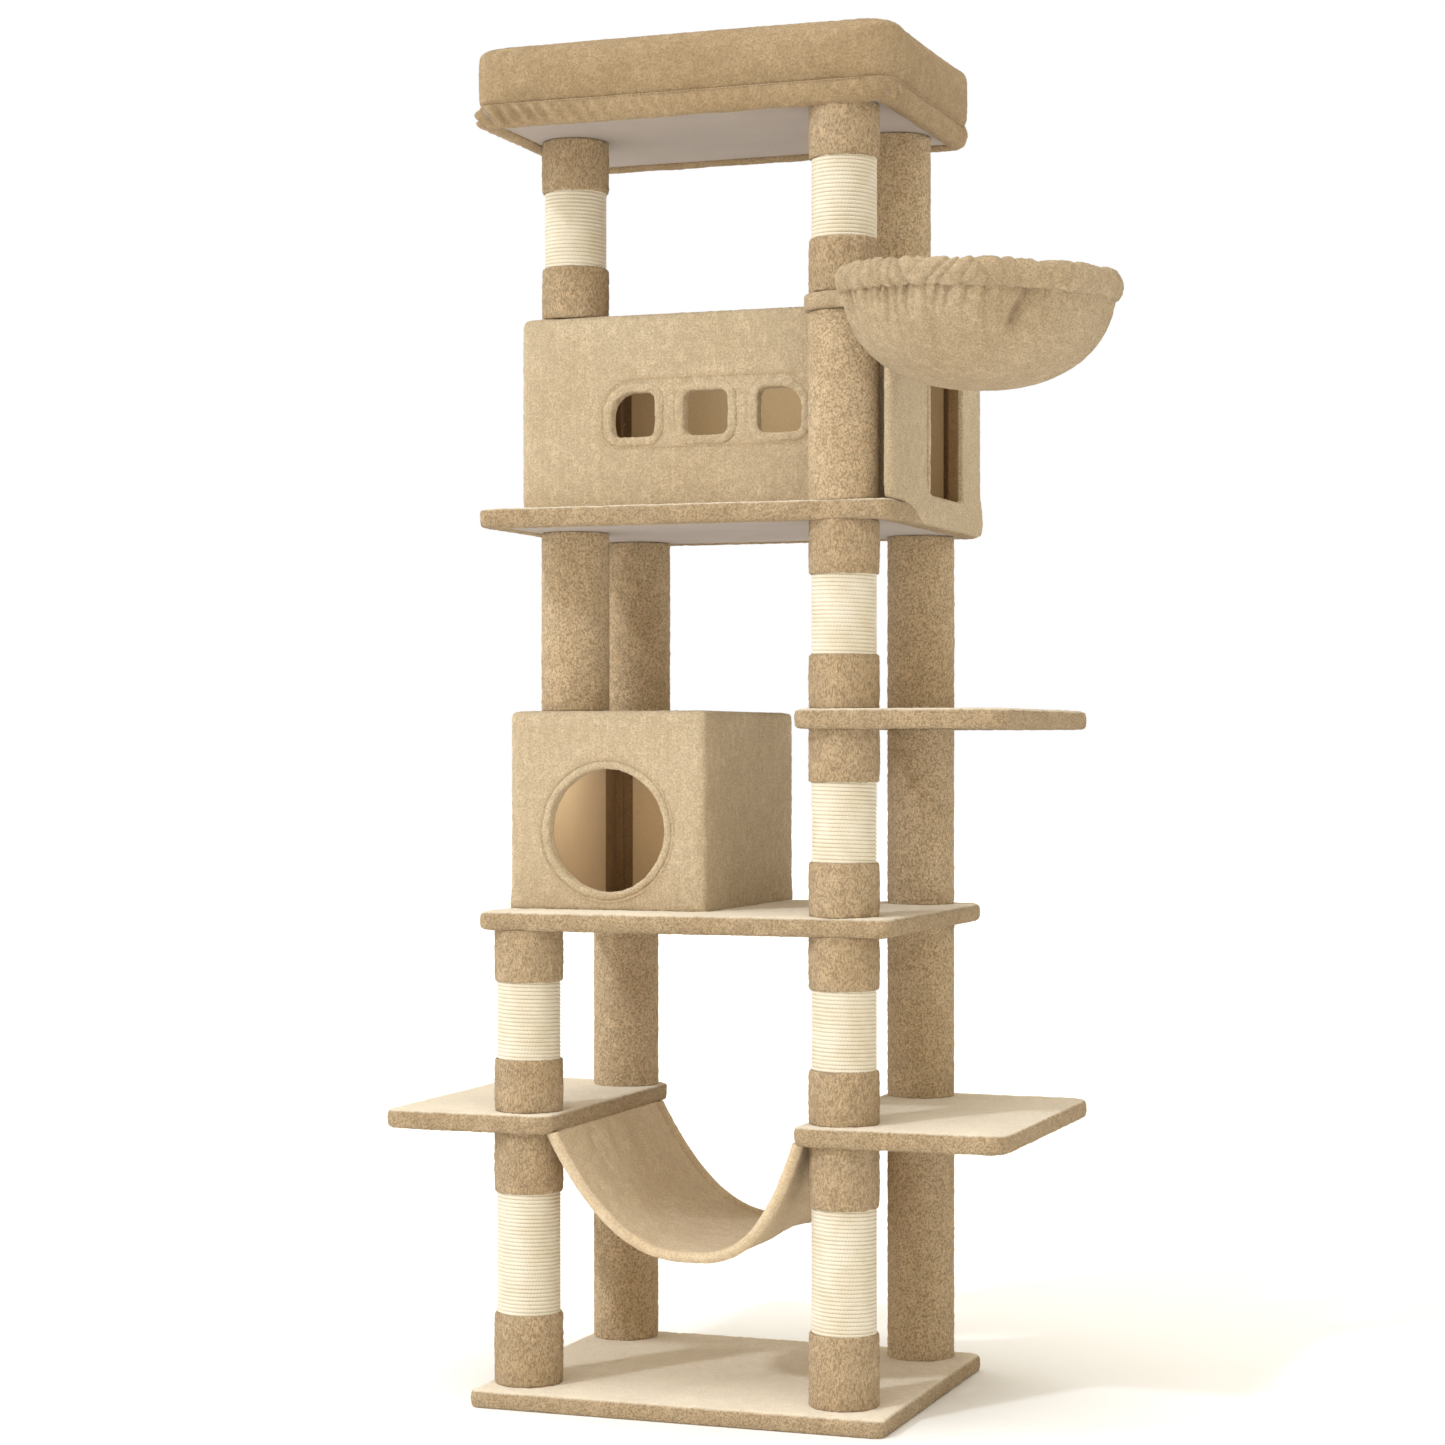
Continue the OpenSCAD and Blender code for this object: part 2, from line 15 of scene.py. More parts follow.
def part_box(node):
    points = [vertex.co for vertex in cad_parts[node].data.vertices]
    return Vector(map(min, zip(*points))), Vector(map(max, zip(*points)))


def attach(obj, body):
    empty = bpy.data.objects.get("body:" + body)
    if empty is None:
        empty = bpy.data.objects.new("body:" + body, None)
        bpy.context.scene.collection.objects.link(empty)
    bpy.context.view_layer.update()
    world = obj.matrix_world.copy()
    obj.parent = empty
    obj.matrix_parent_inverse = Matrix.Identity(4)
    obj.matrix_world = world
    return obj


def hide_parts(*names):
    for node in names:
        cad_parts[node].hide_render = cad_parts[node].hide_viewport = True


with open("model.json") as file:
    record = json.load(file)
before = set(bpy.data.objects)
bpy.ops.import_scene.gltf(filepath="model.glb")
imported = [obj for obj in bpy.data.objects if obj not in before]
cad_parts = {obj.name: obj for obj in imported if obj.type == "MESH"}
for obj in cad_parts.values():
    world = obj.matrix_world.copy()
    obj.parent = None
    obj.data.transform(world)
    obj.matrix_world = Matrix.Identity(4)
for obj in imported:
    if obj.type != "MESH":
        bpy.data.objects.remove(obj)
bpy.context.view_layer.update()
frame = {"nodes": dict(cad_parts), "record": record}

MM = 0.001
FRAME = "frame"
BASKET = "basket"

# Sizes that repeat on many pieces
PILE = 1.3 * MM
BOARD_VOXEL = 4.2 * MM
HOUSE_VOXEL = 4.0 * MM
UPPER_HOUSE_VOXEL = 4.3 * MM
CUSHION_VOXEL = 6 * MM
UNDER_BORDER = 24 * MM
ROPE_PITCH = 5.4 * MM
ROPE_RADIUS = 2.95 * MM
ROPE_TUCK = 5 * MM
FLAP = 34 * MM

# The basket's arm, as in the design: its turn from +X, and the droop and reach of its ring
RING_TURN = math.radians(-36)
RING_DROOP = math.radians(3.5)
RING_REACH = 289 * MM
RING_RADIUS = 174 * MM
PLATE_RADIUS = 54 * MM
BOWL_DEPTH = 129 * MM

# Holes in the house walls, as in the design: centres above their floors, and sizes
DOOR_X = -140 * MM
DOOR_Z = 112 * MM
DOOR_RADIUS = 88 * MM
WINDOW_X = -5 * MM
WINDOW_PITCH = 109 * MM
WINDOW_Z = 137 * MM
SIDE_DOOR_Y = (-27 * MM, 143 * MM)
SIDE_DOOR_H = 212 * MM
HAMMOCK_LOW = 9 * MM

# Strengths of the lights: from the front left, from the left, from above, all round, in the houses
KEY = 1.05
SIDE = 0.72
TOP = 1.45
FILL = 0.90
INSIDE = 0.5
KEY_HEIGHT = math.radians(38)


# ---------------------------------------------------------------- materials

class Nodes:
    """Adds nodes to a tree and links them, so that a material reads as its own recipe."""

    def __init__(self, tree):
        self.tree = tree

    def add(self, kind, inputs=None, **settings):
        """A new node, its inputs set to values or linked to other nodes' outputs."""
        node = self.tree.nodes.new(kind)
        for key, value in settings.items():
            setattr(node, key, value)
        for key, value in (inputs or {}).items():
            self.feed(node, key, value)
        return node

    def out(self, kind, inputs=None, **settings):
        return self.add(kind, inputs, **settings).outputs[0]

    def feed(self, node, key, value):
        socket = node.inputs[key]
        if isinstance(value, bpy.types.NodeSocket):
            self.tree.links.new(value, socket)
        else:
            socket.default_value = (*value, 1) if socket.type == "RGBA" and len(value) == 3 else value

    def math(self, operation, *values, clamp=False):
        return self.out("ShaderNodeMath", dict(enumerate(values)), operation=operation, use_clamp=clamp)

    def times(self, a, b, clamp=False):
        return self.math("MULTIPLY", a, b, clamp=clamp)

    def plus(self, a, b, clamp=False):
        return self.math("ADD", a, b, clamp=clamp)

    def minus(self, a, b, clamp=False):
        return self.math("SUBTRACT", a, b, clamp=clamp)

    def mix(self, factor, a, b):
        return self.add("ShaderNodeMix", {0: factor, 6: a, 7: b}, data_type="RGBA").outputs[2]

    def noise(self, vector, scale, detail=2.0, roughness=0.5, distortion=0.0):
        return self.out("ShaderNodeTexNoise", {"Vector": vector, "Scale": scale, "Detail": detail,
                                               "Roughness": roughness, "Distortion": distortion})

    def stretched(self, scale=(1, 1, 1), turn=(0, 0, 0)):
        """Object coordinates, turned and scaled, so that a pattern gets a grain."""
        place = self.add("ShaderNodeTexCoord").outputs["Object"]
        return self.out("ShaderNodeMapping", {"Vector": place, "Scale": scale, "Rotation": turn})

    def contrast(self, value, low, high):
        """Stretches a value so that low becomes 0 and high becomes 1."""
        return self.out("ShaderNodeMapRange", {"Value": value, "From Min": low, "From Max": high})

    def vector(self, operation, inputs):
        return self.out("ShaderNodeVectorMath", inputs, operation=operation)

    def split(self, vector):
        return self.add("ShaderNodeSeparateXYZ", {0: vector}).outputs


def new_material(name, roughness, **sockets):
    """A shader on a new material, with the adder for the nodes that feed it."""
    material = bpy.data.materials.new(name)
    material.use_nodes = True
    material.node_tree.nodes.clear()
    n = Nodes(material.node_tree)
    values = {key.replace("_", " "): value for key, value in sockets.items()}
    shader = n.add("ShaderNodeBsdfPrincipled", {"Roughness": roughness, **values})
    n.add("ShaderNodeOutputMaterial", {"Surface": shader.outputs[0]})
    return material, n, shader


def paint(n, shader, colour, relief=None, strength=0.8, distance=0.8 * MM):
    """Feeds a shader its colour and, where there is one, its relief."""
    n.feed(shader, "Base Color", colour)
    if relief:
        bump = {"Strength": strength, "Distance": distance, "Height": relief}
        n.feed(shader, "Normal", n.out("ShaderNodeBump", bump))


def nubs(n, lay, size):
    """Distance from the middle of each nub of pile, the nubs pushed about so that none is round."""
    push = n.add("ShaderNodeTexNoise", {"Vector": lay, "Scale": 0.8 / size, "Detail": 2.0}).outputs["Color"]
    centred = n.vector("SUBTRACT", {0: push, 1: (0.5, 0.5, 0.5)})
    moved = n.vector("ADD", {0: lay, 1: n.vector("SCALE", {0: centred, "Scale": 6 * MM})})
    return n.out("ShaderNodeTexVoronoi", {"Vector": moved, "Scale": 1 / size})


def plush_material(name, body, pale, deep, nub=2.7 * MM, depth=0.8 * MM, grain=(1, 1, 1), turn=(0, 0, 0),
                   parting=0.5, ribs=0.0, top=None, top_parting=0.3):
    """Short clumpy pile: nubs of fibre with painted shade in the partings between them, a painted highlight
    on their middles, and broad brushed patches.
    Where top is given, faces that look up are painted paler and with fainter partings: painted light on the
    tops."""
    material, n, shader = new_material(name, 0.9, Sheen_Weight=0.10, Sheen_Roughness=0.5,
                                       Sheen_Tint=(1.0, 0.96, 0.90, 1.0), Specular_IOR_Level=0.1,
                                       Diffuse_Roughness=0.6)
    lay, plain = n.stretched(grain, turn), n.stretched()
    away = nubs(n, lay, nub)
    worms = n.noise(lay, 1.15 / nub, 2.0, 0.62, 1.9)
    fibres = n.noise(lay, 2.6 / nub, 2.0, 0.6, 0.8)
    breaks = n.noise(plain, 75, 2.0, 0.5, 0.3)
    patches = n.contrast(n.noise(plain, 9, 2.0, 0.5, 0.5), 0.32, 0.68)

    # Painted shade: the partings between nubs, the parting lines and the fine fibre noise darken the colour
    # towards deep, as if in shade.
    line = n.math("DIVIDE", n.math("ABSOLUTE", n.minus(worms, 0.5)), 0.048)
    broken = n.plus(n.times(n.contrast(breaks, 0.36, 0.60), 0.75), 0.25)
    line = n.times(n.minus(1.0, line, clamp=True), broken)
    crevice = n.times(n.contrast(away, 0.44, 0.74), 0.65)
    grey = n.times(n.contrast(fibres, 0.54, 0.36), 0.30)
    shade = n.plus(n.plus(crevice, line), grey, clamp=True)
    if ribs:
        rows = n.noise(n.stretched((1, 1, 0.03)), 330, 1.0, 0.4)
        shade = n.plus(shade, n.times(n.contrast(rows, 0.6, 0.4), ribs), clamp=True)

    # Painted highlight: the middles of the nubs are painted paler, where the fibre tips catch the light.
    tip_highlight = n.times(n.contrast(away, 0.34, 0.10), n.contrast(fibres, 0.42, 0.62))
    soft = n.mix(n.times(patches, 0.8), body, pale)
    soft = n.mix(n.times(tip_highlight, 0.4), soft, tuple(min(1.0, c * 1.25) for c in pale))
    strength = parting
    # Painted light: faces that look up take the paler top colour and fainter partings, as if lit from above.
    if top:
        normal = n.split(n.add("ShaderNodeNewGeometry").outputs["Normal"])
        up = n.contrast(normal["Z"], 0.55, 0.92)
        soft = n.mix(up, soft, n.mix(patches, tuple(c * 0.92 for c in top), top))
        strength = n.plus(n.times(up, top_parting - parting), parting)
    relief = n.minus(n.times(fibres, 0.5), n.plus(shade, away))
    relief = n.times(relief, n.math("DIVIDE", strength, parting))
    paint(n, shader, n.mix(n.times(shade, strength), soft, deep), relief, 0.8, depth)
    n.feed(shader, "Roughness", n.plus(n.times(shade, 0.08), 0.86))
    return material


def rope_material():
    """Twisted sisal: slanted strands and stray fibres, with painted shade in the grooves between strands and
    along the line between turns.
    """
    material, n, shader = new_material("sisal_rope", 0.78, Sheen_Weight=0.3, Specular_IOR_Level=0.25)
    along, height = (n.add("ShaderNodeAttribute", attribute_name=name).outputs["Fac"]
                     for name in ("along", "height"))
    slant = n.plus(n.times(along, 1 / (4.2 * MM)), n.times(height, 0.55))
    strand = n.plus(n.times(n.math("SINE", n.times(slant, 2 * math.pi)), 0.5), 0.5)
    fibres = n.noise(n.stretched((0.35, 0.35, 1.6), (0.0, 0.35, 0.0)), 900, 2.0, 0.6, 0.6)
    tone = n.noise(n.stretched(), 30, 2.0)
    edge = n.math("POWER", n.math("ABSOLUTE", height), 4.0)
    colour = n.mix(n.contrast(tone, 0.3, 0.7), (0.72, 0.645, 0.50), (0.81, 0.755, 0.64))
    # Painted shade: darker in the grooves between strands and where each turn meets the next; the pale stray
    # fibres are the rope's own colour.
    for share, tint in ((n.times(n.contrast(strand, 0.35, 0.0), 0.5, clamp=True), (0.62, 0.49, 0.30)),
                        (n.times(edge, 0.28, clamp=True), (0.58, 0.44, 0.25)),
                        (n.times(n.contrast(fibres, 0.55, 0.75), 0.5, clamp=True), (0.90, 0.86, 0.77))):
        colour = n.mix(share, colour, tint)
    paint(n, shader, colour, n.plus(n.times(strand, 0.8), n.times(fibres, 0.5)))
    return material


def cloudy_material(name, roughness, grain, noise, dark, pale, span=None, flecks=None, bump=None,
                    gloss=None, **sockets):
    """A finish that drifts between two colours. It may have flecks of a third colour, a relief from
    its finest pattern, and a gloss that varies with it."""
    material, n, shader = new_material(name, roughness, **sockets)
    tone = n.noise(n.stretched(grain), *noise)
    colour = n.mix(n.contrast(tone, *span) if span else tone, dark, pale)
    if flecks:
        grain, noise, low, high, share, third = flecks
        tone = n.noise(n.stretched(grain), *noise)
        colour = n.mix(n.times(n.contrast(tone, low, high), share, clamp=True), colour, third)
    if gloss:
        n.feed(shader, "Roughness", n.plus(n.times(tone, gloss[0]), gloss[1]))
    if bump:
        paint(n, shader, colour, tone, *bump)
    else:
        paint(n, shader, colour)
    return material


# Board plush; its top colour is painted light on the faces that look up.
PLUSH = plush_material("board_plush", (0.61, 0.46, 0.285), (0.67, 0.52, 0.34), (0.16, 0.085, 0.03),
                       depth=0.9 * MM, parting=0.66, top=(0.85, 0.755, 0.61), top_parting=0.18)
WALL = plush_material("wall_plush", (0.77, 0.635, 0.445), (0.83, 0.70, 0.505), (0.31, 0.195, 0.085),
                      nub=2.6 * MM, depth=0.9 * MM, parting=0.54, ribs=0.14)
SLEEVE = plush_material("sleeve_plush", (0.75, 0.575, 0.365), (0.83, 0.66, 0.445), (0.17, 0.09, 0.03),
                        nub=2.8 * MM, depth=1.0 * MM, grain=(1, 1, 0.8), turn=(0.4, 0.3, 0), parting=0.66)
COLLAR = plush_material("collar_plush", (0.66, 0.49, 0.295), (0.75, 0.58, 0.38), (0.13, 0.065, 0.025),
                        nub=2.3 * MM, depth=1.2 * MM, grain=(1, 1, 0.5), turn=(0.12, 0.15, 0), parting=0.64)
SOFT = plush_material("soft_plush", (0.605, 0.47, 0.305), (0.665, 0.53, 0.36), (0.20, 0.115, 0.045))
HANGING = plush_material("hammock_plush", (0.82, 0.66, 0.455), (0.88, 0.735, 0.53), (0.34, 0.21, 0.10),
                         depth=0.6 * MM, parting=0.42)
CUSHION = plush_material("cushion_plush", (0.51, 0.37, 0.215), (0.57, 0.43, 0.265), (0.18, 0.10, 0.04),
                         depth=0.7 * MM)
# Dark plush for painted shade in the houses' corners and on the side door's jamb.
SHADED = plush_material("painted_shade_plush", (0.28, 0.17, 0.08), (0.34, 0.215, 0.10), (0.12, 0.06, 0.02),
                        parting=0.45)
ROPE = rope_material()

EVEN = (1, 1, 1)
FELT = cloudy_material("grey_felt", 0.95, EVEN, (14, 2.0), (0.285, 0.235, 0.205), (0.36, 0.30, 0.265),
                       flecks=(EVEN, (420, 3.0, 0.65, 1.0), 0.35, 0.7, 0.35, (0.47, 0.405, 0.36)),
                       bump=(0.35, 0.4 * MM), Sheen_Weight=0.2, Specular_IOR_Level=0.1)
LINING = cloudy_material("lining_cloth", 0.9, (1, 1, 0.5), (16, 2.0), (0.66, 0.50, 0.315), (0.72, 0.56, 0.37),
                         flecks=((1, 1, 0.25), (700, 2.0, 0.5), 0.6, 0.35, 0.3, (0.50, 0.36, 0.20)),
                         bump=(0.4, 0.5 * MM), Sheen_Weight=0.3, Specular_IOR_Level=0.15)
WOOD = cloudy_material("pale_wood", 0.6, (40, 3, 40), (5, 4.0, 0.6, 0.8), (0.52, 0.36, 0.20),
                       (0.68, 0.52, 0.33), span=(0.3, 0.7), bump=(0.2, 0.3 * MM))
CARD = cloudy_material("wound_card", 0.85, (1, 1, 4), (180, 3.0, 0.6), (0.36, 0.26, 0.16),
                       (0.48, 0.36, 0.24), bump=(0.2, 0.2 * MM))
ZINC = cloudy_material("zinc_steel", 0.35, (1, 1, 12), (140, 2.0), (0.48, 0.48, 0.50),
                       (0.64, 0.64, 0.66), gloss=(0.2, 0.26), Metallic=1.0)
THREAD = cloudy_material("sewing_thread", 0.7, EVEN, (1500, 1.0), (0.50, 0.35, 0.19), (0.66, 0.50, 0.31),
                         Sheen_Weight=0.3)


# ---------------------------------------------------------------- mesh helpers

def linked(name, data):
    """A new object at the origin of the scene."""
    obj = bpy.data.objects.new(name, data)
    bpy.context.scene.collection.objects.link(obj)
    return obj


def mesh_object(name, verts, faces, material, edges=()):
    mesh = bpy.data.meshes.new(name)
    mesh.from_pydata([tuple(v) for v in verts], list(edges), faces)
    mesh.materials.append(material)
    shade_smooth(mesh)
    return linked(name, mesh)


def shade_smooth(mesh):
    mesh.polygons.foreach_set("use_smooth", np.ones(len(mesh.polygons), bool))
    mesh.update()


def read_points(obj, layer):
    values = np.empty(len(obj.data.vertices) * 3, np.float32)
    obj.data.vertices.foreach_get(layer, values)
    return values.reshape(-1, 3).astype(float)


def positions(obj):
    return read_points(obj, "co")


def normals(obj):
    return read_points(obj, "normal")


def set_positions(obj, co):
    obj.data.vertices.foreach_set("co", np.asarray(co, np.float32).ravel())
    obj.data.update()


def keep_height(obj, low=-math.inf, high=math.inf):
    """Flattens what lies below or above a height."""
    co = positions(obj)
    co[:, 2] = np.clip(co[:, 2], low, high)
    set_positions(obj, co)


def grid_faces(rows, columns, closed_rows=False, closed_columns=False, start=0):
    """Quads over a rows by columns grid of points, which may close on itself either way."""
    faces = []
    for i in range(rows if closed_rows else rows - 1):
        for j in range(columns if closed_columns else columns - 1):
            a, b = i, (i + 1) % rows
            c, d = j, (j + 1) % columns
            faces.append(tuple(start + k for k in (a * columns + c, a * columns + d,
                                                   b * columns + d, b * columns + c)))
    return faces


def bake_modifiers(obj):
    """Replaces the object's mesh with its evaluated one and clears its modifiers."""
    bpy.context.view_layer.update()
    depsgraph = bpy.context.evaluated_depsgraph_get()
    made = bpy.data.meshes.new_from_object(obj.evaluated_get(depsgraph))
    old = obj.data
    obj.modifiers.clear()
    obj.data = made
    made.name = obj.name
    bpy.data.meshes.remove(old)
    return obj


def modified(obj, *modifiers):
    """Adds modifiers, each a kind and its settings, and bakes them into the mesh."""
    for kind, settings in modifiers:
        modifier = obj.modifiers.new(kind.lower(), kind)
        for key, value in settings.items():
            setattr(modifier, key, value)
    return bake_modifiers(obj)


def gathered(meshes):
    """The points and faces of several meshes, in order."""
    verts, faces = [], []
    for mesh in meshes:
        start = len(verts)
        verts += [tuple(v.co) for v in mesh.vertices]
        faces += [tuple(start + i for i in p.vertices) for p in mesh.polygons]
    return verts, faces


def merged_copy(name, nodes, material):
    """One object holding copies of CAD nodes' meshes, with their doubles merged."""
    obj = mesh_object(name, *gathered(frame["nodes"][node].data for node in nodes), material)
    return modified(obj, ("WELD", {"merge_threshold": 0.02 * MM}))


def join(name, objects):
    """One object from several, in order."""
    verts, faces = gathered(obj.data for obj in objects)
    material = objects[0].data.materials[0]
    for obj in objects:
        bpy.data.objects.remove(obj)
    return mesh_object(name, verts, faces, material)


def remeshed(obj, voxel, rounds):
    """Voxel-remeshes a closed shape and rounds its edges over."""
    material = obj.data.materials[0]
    modified(obj, ("REMESH", {"mode": "VOXEL", "voxel_size": voxel, "use_smooth_shade": True}),
             ("SMOOTH", {"factor": 0.5, "iterations": rounds}))
    obj.data.materials.clear()
    obj.data.materials.append(material)
    shade_smooth(obj.data)
    return obj


def new_tree(name, **inputs):
    """An empty geometry nodes tree with named inputs, its adder and its input sockets."""
    tree = bpy.data.node_groups.new(name, "GeometryNodeTree")
    tree.interface.new_socket("Geometry", in_out="OUTPUT", socket_type="NodeSocketGeometry")
    for label, kind in {"Geometry": "Geometry", **inputs, "Material": "Material"}.items():
        tree.interface.new_socket(label.replace("_", " "), in_out="INPUT", socket_type="NodeSocket" + kind)
    n = Nodes(tree)
    return n, n.add("NodeGroupInput").outputs


def end_tree(n, geometry, material):
    """Makes instances real, shades them smooth and gives them their material."""
    real = n.out("GeometryNodeRealizeInstances", {"Geometry": geometry})
    smooth = n.out("GeometryNodeSetShadeSmooth", {"Geometry": real})
    painted = n.out("GeometryNodeSetMaterial", {"Geometry": smooth, "Material": material})
    n.add("NodeGroupOutput", {0: painted})
    return n.tree


def run_tree(obj, tree, inputs):
    """Bakes a geometry nodes tree into an object, its inputs set by their sockets' identifiers."""
    modifier = obj.modifiers.new("nodes", "NODES")
    modifier.node_group = tree
    inputs["Material"] = obj.data.materials[0]
    for item in tree.interface.items_tree:
        if item.in_out == "INPUT" and item.name in inputs:
            modifier[item.identifier] = inputs[item.name]
    return bake_modifiers(obj)


def pile_tree():
    """Geometry nodes that raise a surface into small clumps of pile along its normals."""
    n, source = new_tree("pile_clumps", Depth="Float", Clump="Float", Seed="Float")
    clumps = n.out("ShaderNodeTexNoise",
                   {"Vector": n.out("GeometryNodeInputPosition"), "W": source["Seed"],
                    "Scale": n.math("DIVIDE", 1.0, source["Clump"]), "Detail": 2.0, "Roughness": 0.6,
                    "Distortion": 0.6}, noise_dimensions="4D")
    lift = n.times(n.times(n.minus(clumps, 0.5), 3.2), source["Depth"])
    offset = n.vector("SCALE", {0: n.out("GeometryNodeInputNormal"), "Scale": lift})
    moved = n.out("GeometryNodeSetPosition", {"Geometry": source["Geometry"], "Offset": offset})
    return end_tree(n, moved, source["Material"])


PILE_TREE = pile_tree()


def raise_pile(obj, depth, clump, seed):
    run_tree(obj, PILE_TREE, {"Depth": depth, "Clump": clump, "Seed": seed})
    shade_smooth(obj.data)
    return obj


def finish_piece(obj, body, slot, *nodes):
    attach(obj, body)
    if nodes:
        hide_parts(*nodes)
    return obj


def plush_piece(obj, body, slot, pile, *nodes):
    """Raises a piece's pile, given as its depth, clump size and seed, and finishes the piece."""
    raise_pile(obj, *pile)
    return finish_piece(obj, body, slot, *nodes)


# ---------------------------------------------------------------- boards

def tuck_under(obj, low, high, lift=3 * MM, sink=1.2 * MM):
    """Lifts the middle of a board's underside into its core, so that only a border turns under."""
    co = positions(obj)
    edge = np.minimum.reduce([co[:, 0] - low.x, high.x - co[:, 0], co[:, 1] - low.y, high.y - co[:, 1]])
    inside = np.clip((edge - UNDER_BORDER) / (3 * MM), 0, 1)
    near = co[:, 2] < low.z + 6 * MM
    co[:, 2] += np.where(near, inside * (lift + sink) - sink, 0)
    set_positions(obj, co)


def lift_middle(obj, high, border=12 * MM, lift=3 * MM):
    """Lifts the middle of the base's underside off the floor."""
    co = positions(obj)
    inner = (np.abs(co[:, 0]) < high.x - border) & (np.abs(co[:, 1]) < high.y - border)
    co[:, 2] += np.where((co[:, 2] < 6 * MM) & inner, lift, 0)
    set_positions(obj, co)


def covered_board(name, core, cover, seed, on_floor=False):
    """A board in its plush skin, with soft edges and a turned-under border."""
    low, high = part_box(cover)
    obj = remeshed(merged_copy(name, [core, cover], PLUSH), BOARD_VOXEL, 13)
    set_positions(obj, positions(obj) + normals(obj) * 0.9 * MM)
    if on_floor:
        lift_middle(obj, high)
    else:
        tuck_under(obj, low, high)
    raise_pile(obj, PILE, 8 * MM, seed)
    if on_floor:
        keep_height(obj, low=0.2 * MM)
    return finish_piece(obj, FRAME, "plush", cover)


def make_boards():
    covered_board("base_plush", "base_board", "base_cover", 1.0, on_floor=True)
    for i, name in enumerate(["left_ledge", "right_ledge", "lower_floor", "step", "upper_floor"]):
        covered_board(name + "_plush", name + "_board", name + "_cover", 2.0 + i)


# ---------------------------------------------------------------- posts

def nodes_named(prefix):
    return sorted(n for n in frame["nodes"] if n.startswith(prefix))


def upright(low, high):
    """The foot, height and radius of a standing round piece, from its box."""
    return Vector(((low.x + high.x) / 2, (low.y + high.y) / 2, low.z)), high.z - low.z, (high.x - low.x) / 2


def soft_tube(name, foot, height, radius, material, inner, round_end, bulge=0.0):
    """A ring of plush round a post: a closed tube whose ends roll in towards the tube."""
    step = 3.4 * MM
    around = int(2 * math.pi * radius / step)
    rows = max(6, int((height - 2 * round_end) / step))
    rim = [(radius - round_end + round_end * math.sin(a), round_end - round_end * math.cos(a))
           for a in np.linspace(0, math.pi / 2, 5)]
    side = [(radius + bulge * math.sin(math.pi * t), round_end + t * (height - 2 * round_end))
            for t in np.linspace(0, 1, rows)[1:-1]]
    profile = [(inner, 0.0)] + rim + side + [(r, height - z) for r, z in reversed(rim)] + [(inner, height)]
    verts = []
    for r, z in profile:
        for k in range(around):
            a = 2 * math.pi * k / around
            verts.append((foot.x + r * math.cos(a), foot.y + r * math.sin(a), foot.z + z))
    return mesh_object(name, verts, grid_faces(len(profile), around, True, True), material)


def make_sleeves():
    for i, node in enumerate(nodes_named("sleeve_")):
        foot, height, radius = upright(*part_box(node))
        obj = soft_tube(node + "_plush", foot, height, radius, SLEEVE, radius - 9 * MM, 3 * MM)
        plush_piece(obj, FRAME, "post_plush", (1.5 * MM, 7 * MM, 20.0 + i), node)


def islands_of(node):
    """Boxes of the separate solids in a CAD node that holds several."""
    mesh = frame["nodes"][node].data
    parent = list(range(len(mesh.vertices)))

    def root(i):
        while parent[i] != i:
            parent[i] = parent[parent[i]]
            i = parent[i]
        return i

    by_place = {}
    for v in mesh.vertices:
        key = tuple(round(c * 1e5) for c in v.co)
        first = by_place.setdefault(key, v.index)
        parent[root(v.index)] = root(first)
    for p in mesh.polygons:
        for v in p.vertices[1:]:
            parent[root(v)] = root(p.vertices[0])
    groups = {}
    for v in mesh.vertices:
        groups.setdefault(root(v.index), []).append(v.co)
    boxes = []
    for points in groups.values():
        co = np.array(points)
        boxes.append((Vector(co.min(0)), Vector(co.max(0))))
    return sorted(boxes, key=lambda b: tuple(round(c, 4) for c in (*b[0],)))


def make_collars():
    for i, node in enumerate(nodes_named("collars_")):
        rings = []
        for box in islands_of(node):
            foot, height, radius = upright(*box)
            rings.append(soft_tube("ring", foot, height, radius - 0.5 * MM, COLLAR, radius - 8.5 * MM,
                                   3.5 * MM, bulge=0.6 * MM))
        plush_piece(join(node + "_plush", rings), FRAME, "collar_plush", (1.6 * MM, 6 * MM, 40.0 + i), node)


def rope_tree():
    """Geometry nodes that wind a rope round a post, turn on turn."""
    n, source = new_tree("wound_rope", Coil_radius="Float", Height="Float", Pitch="Float",
                         Rope_radius="Float", Foot="Vector")
    turns = n.math("DIVIDE", source["Height"], source["Pitch"])
    coil = n.out("GeometryNodeCurveSpiral",
                 {"Resolution": 56, "Rotations": turns, "Start Radius": source["Coil radius"],
                  "End Radius": source["Coil radius"], "Height": source["Height"]})

    def marked(geometry, name, value):
        return n.out("GeometryNodeStoreNamedAttribute", {"Geometry": geometry, "Name": name, "Value": value},
                     data_type="FLOAT", domain="POINT")

    coil = marked(coil, "along", n.add("GeometryNodeSplineParameter").outputs["Length"])
    ring = n.out("GeometryNodeCurvePrimitiveCircle", {"Resolution": 8, "Radius": source["Rope radius"]},
                 mode="RADIUS")
    rope = n.out("GeometryNodeCurveToMesh", {"Curve": coil, "Profile Curve": ring, "Fill Caps": True})
    rope = marked(rope, "height", n.split(n.out("GeometryNodeInputNormal"))["Z"])
    placed = n.out("GeometryNodeTransform", {"Geometry": rope, "Translation": source["Foot"]})
    return end_tree(n, placed, source["Material"])


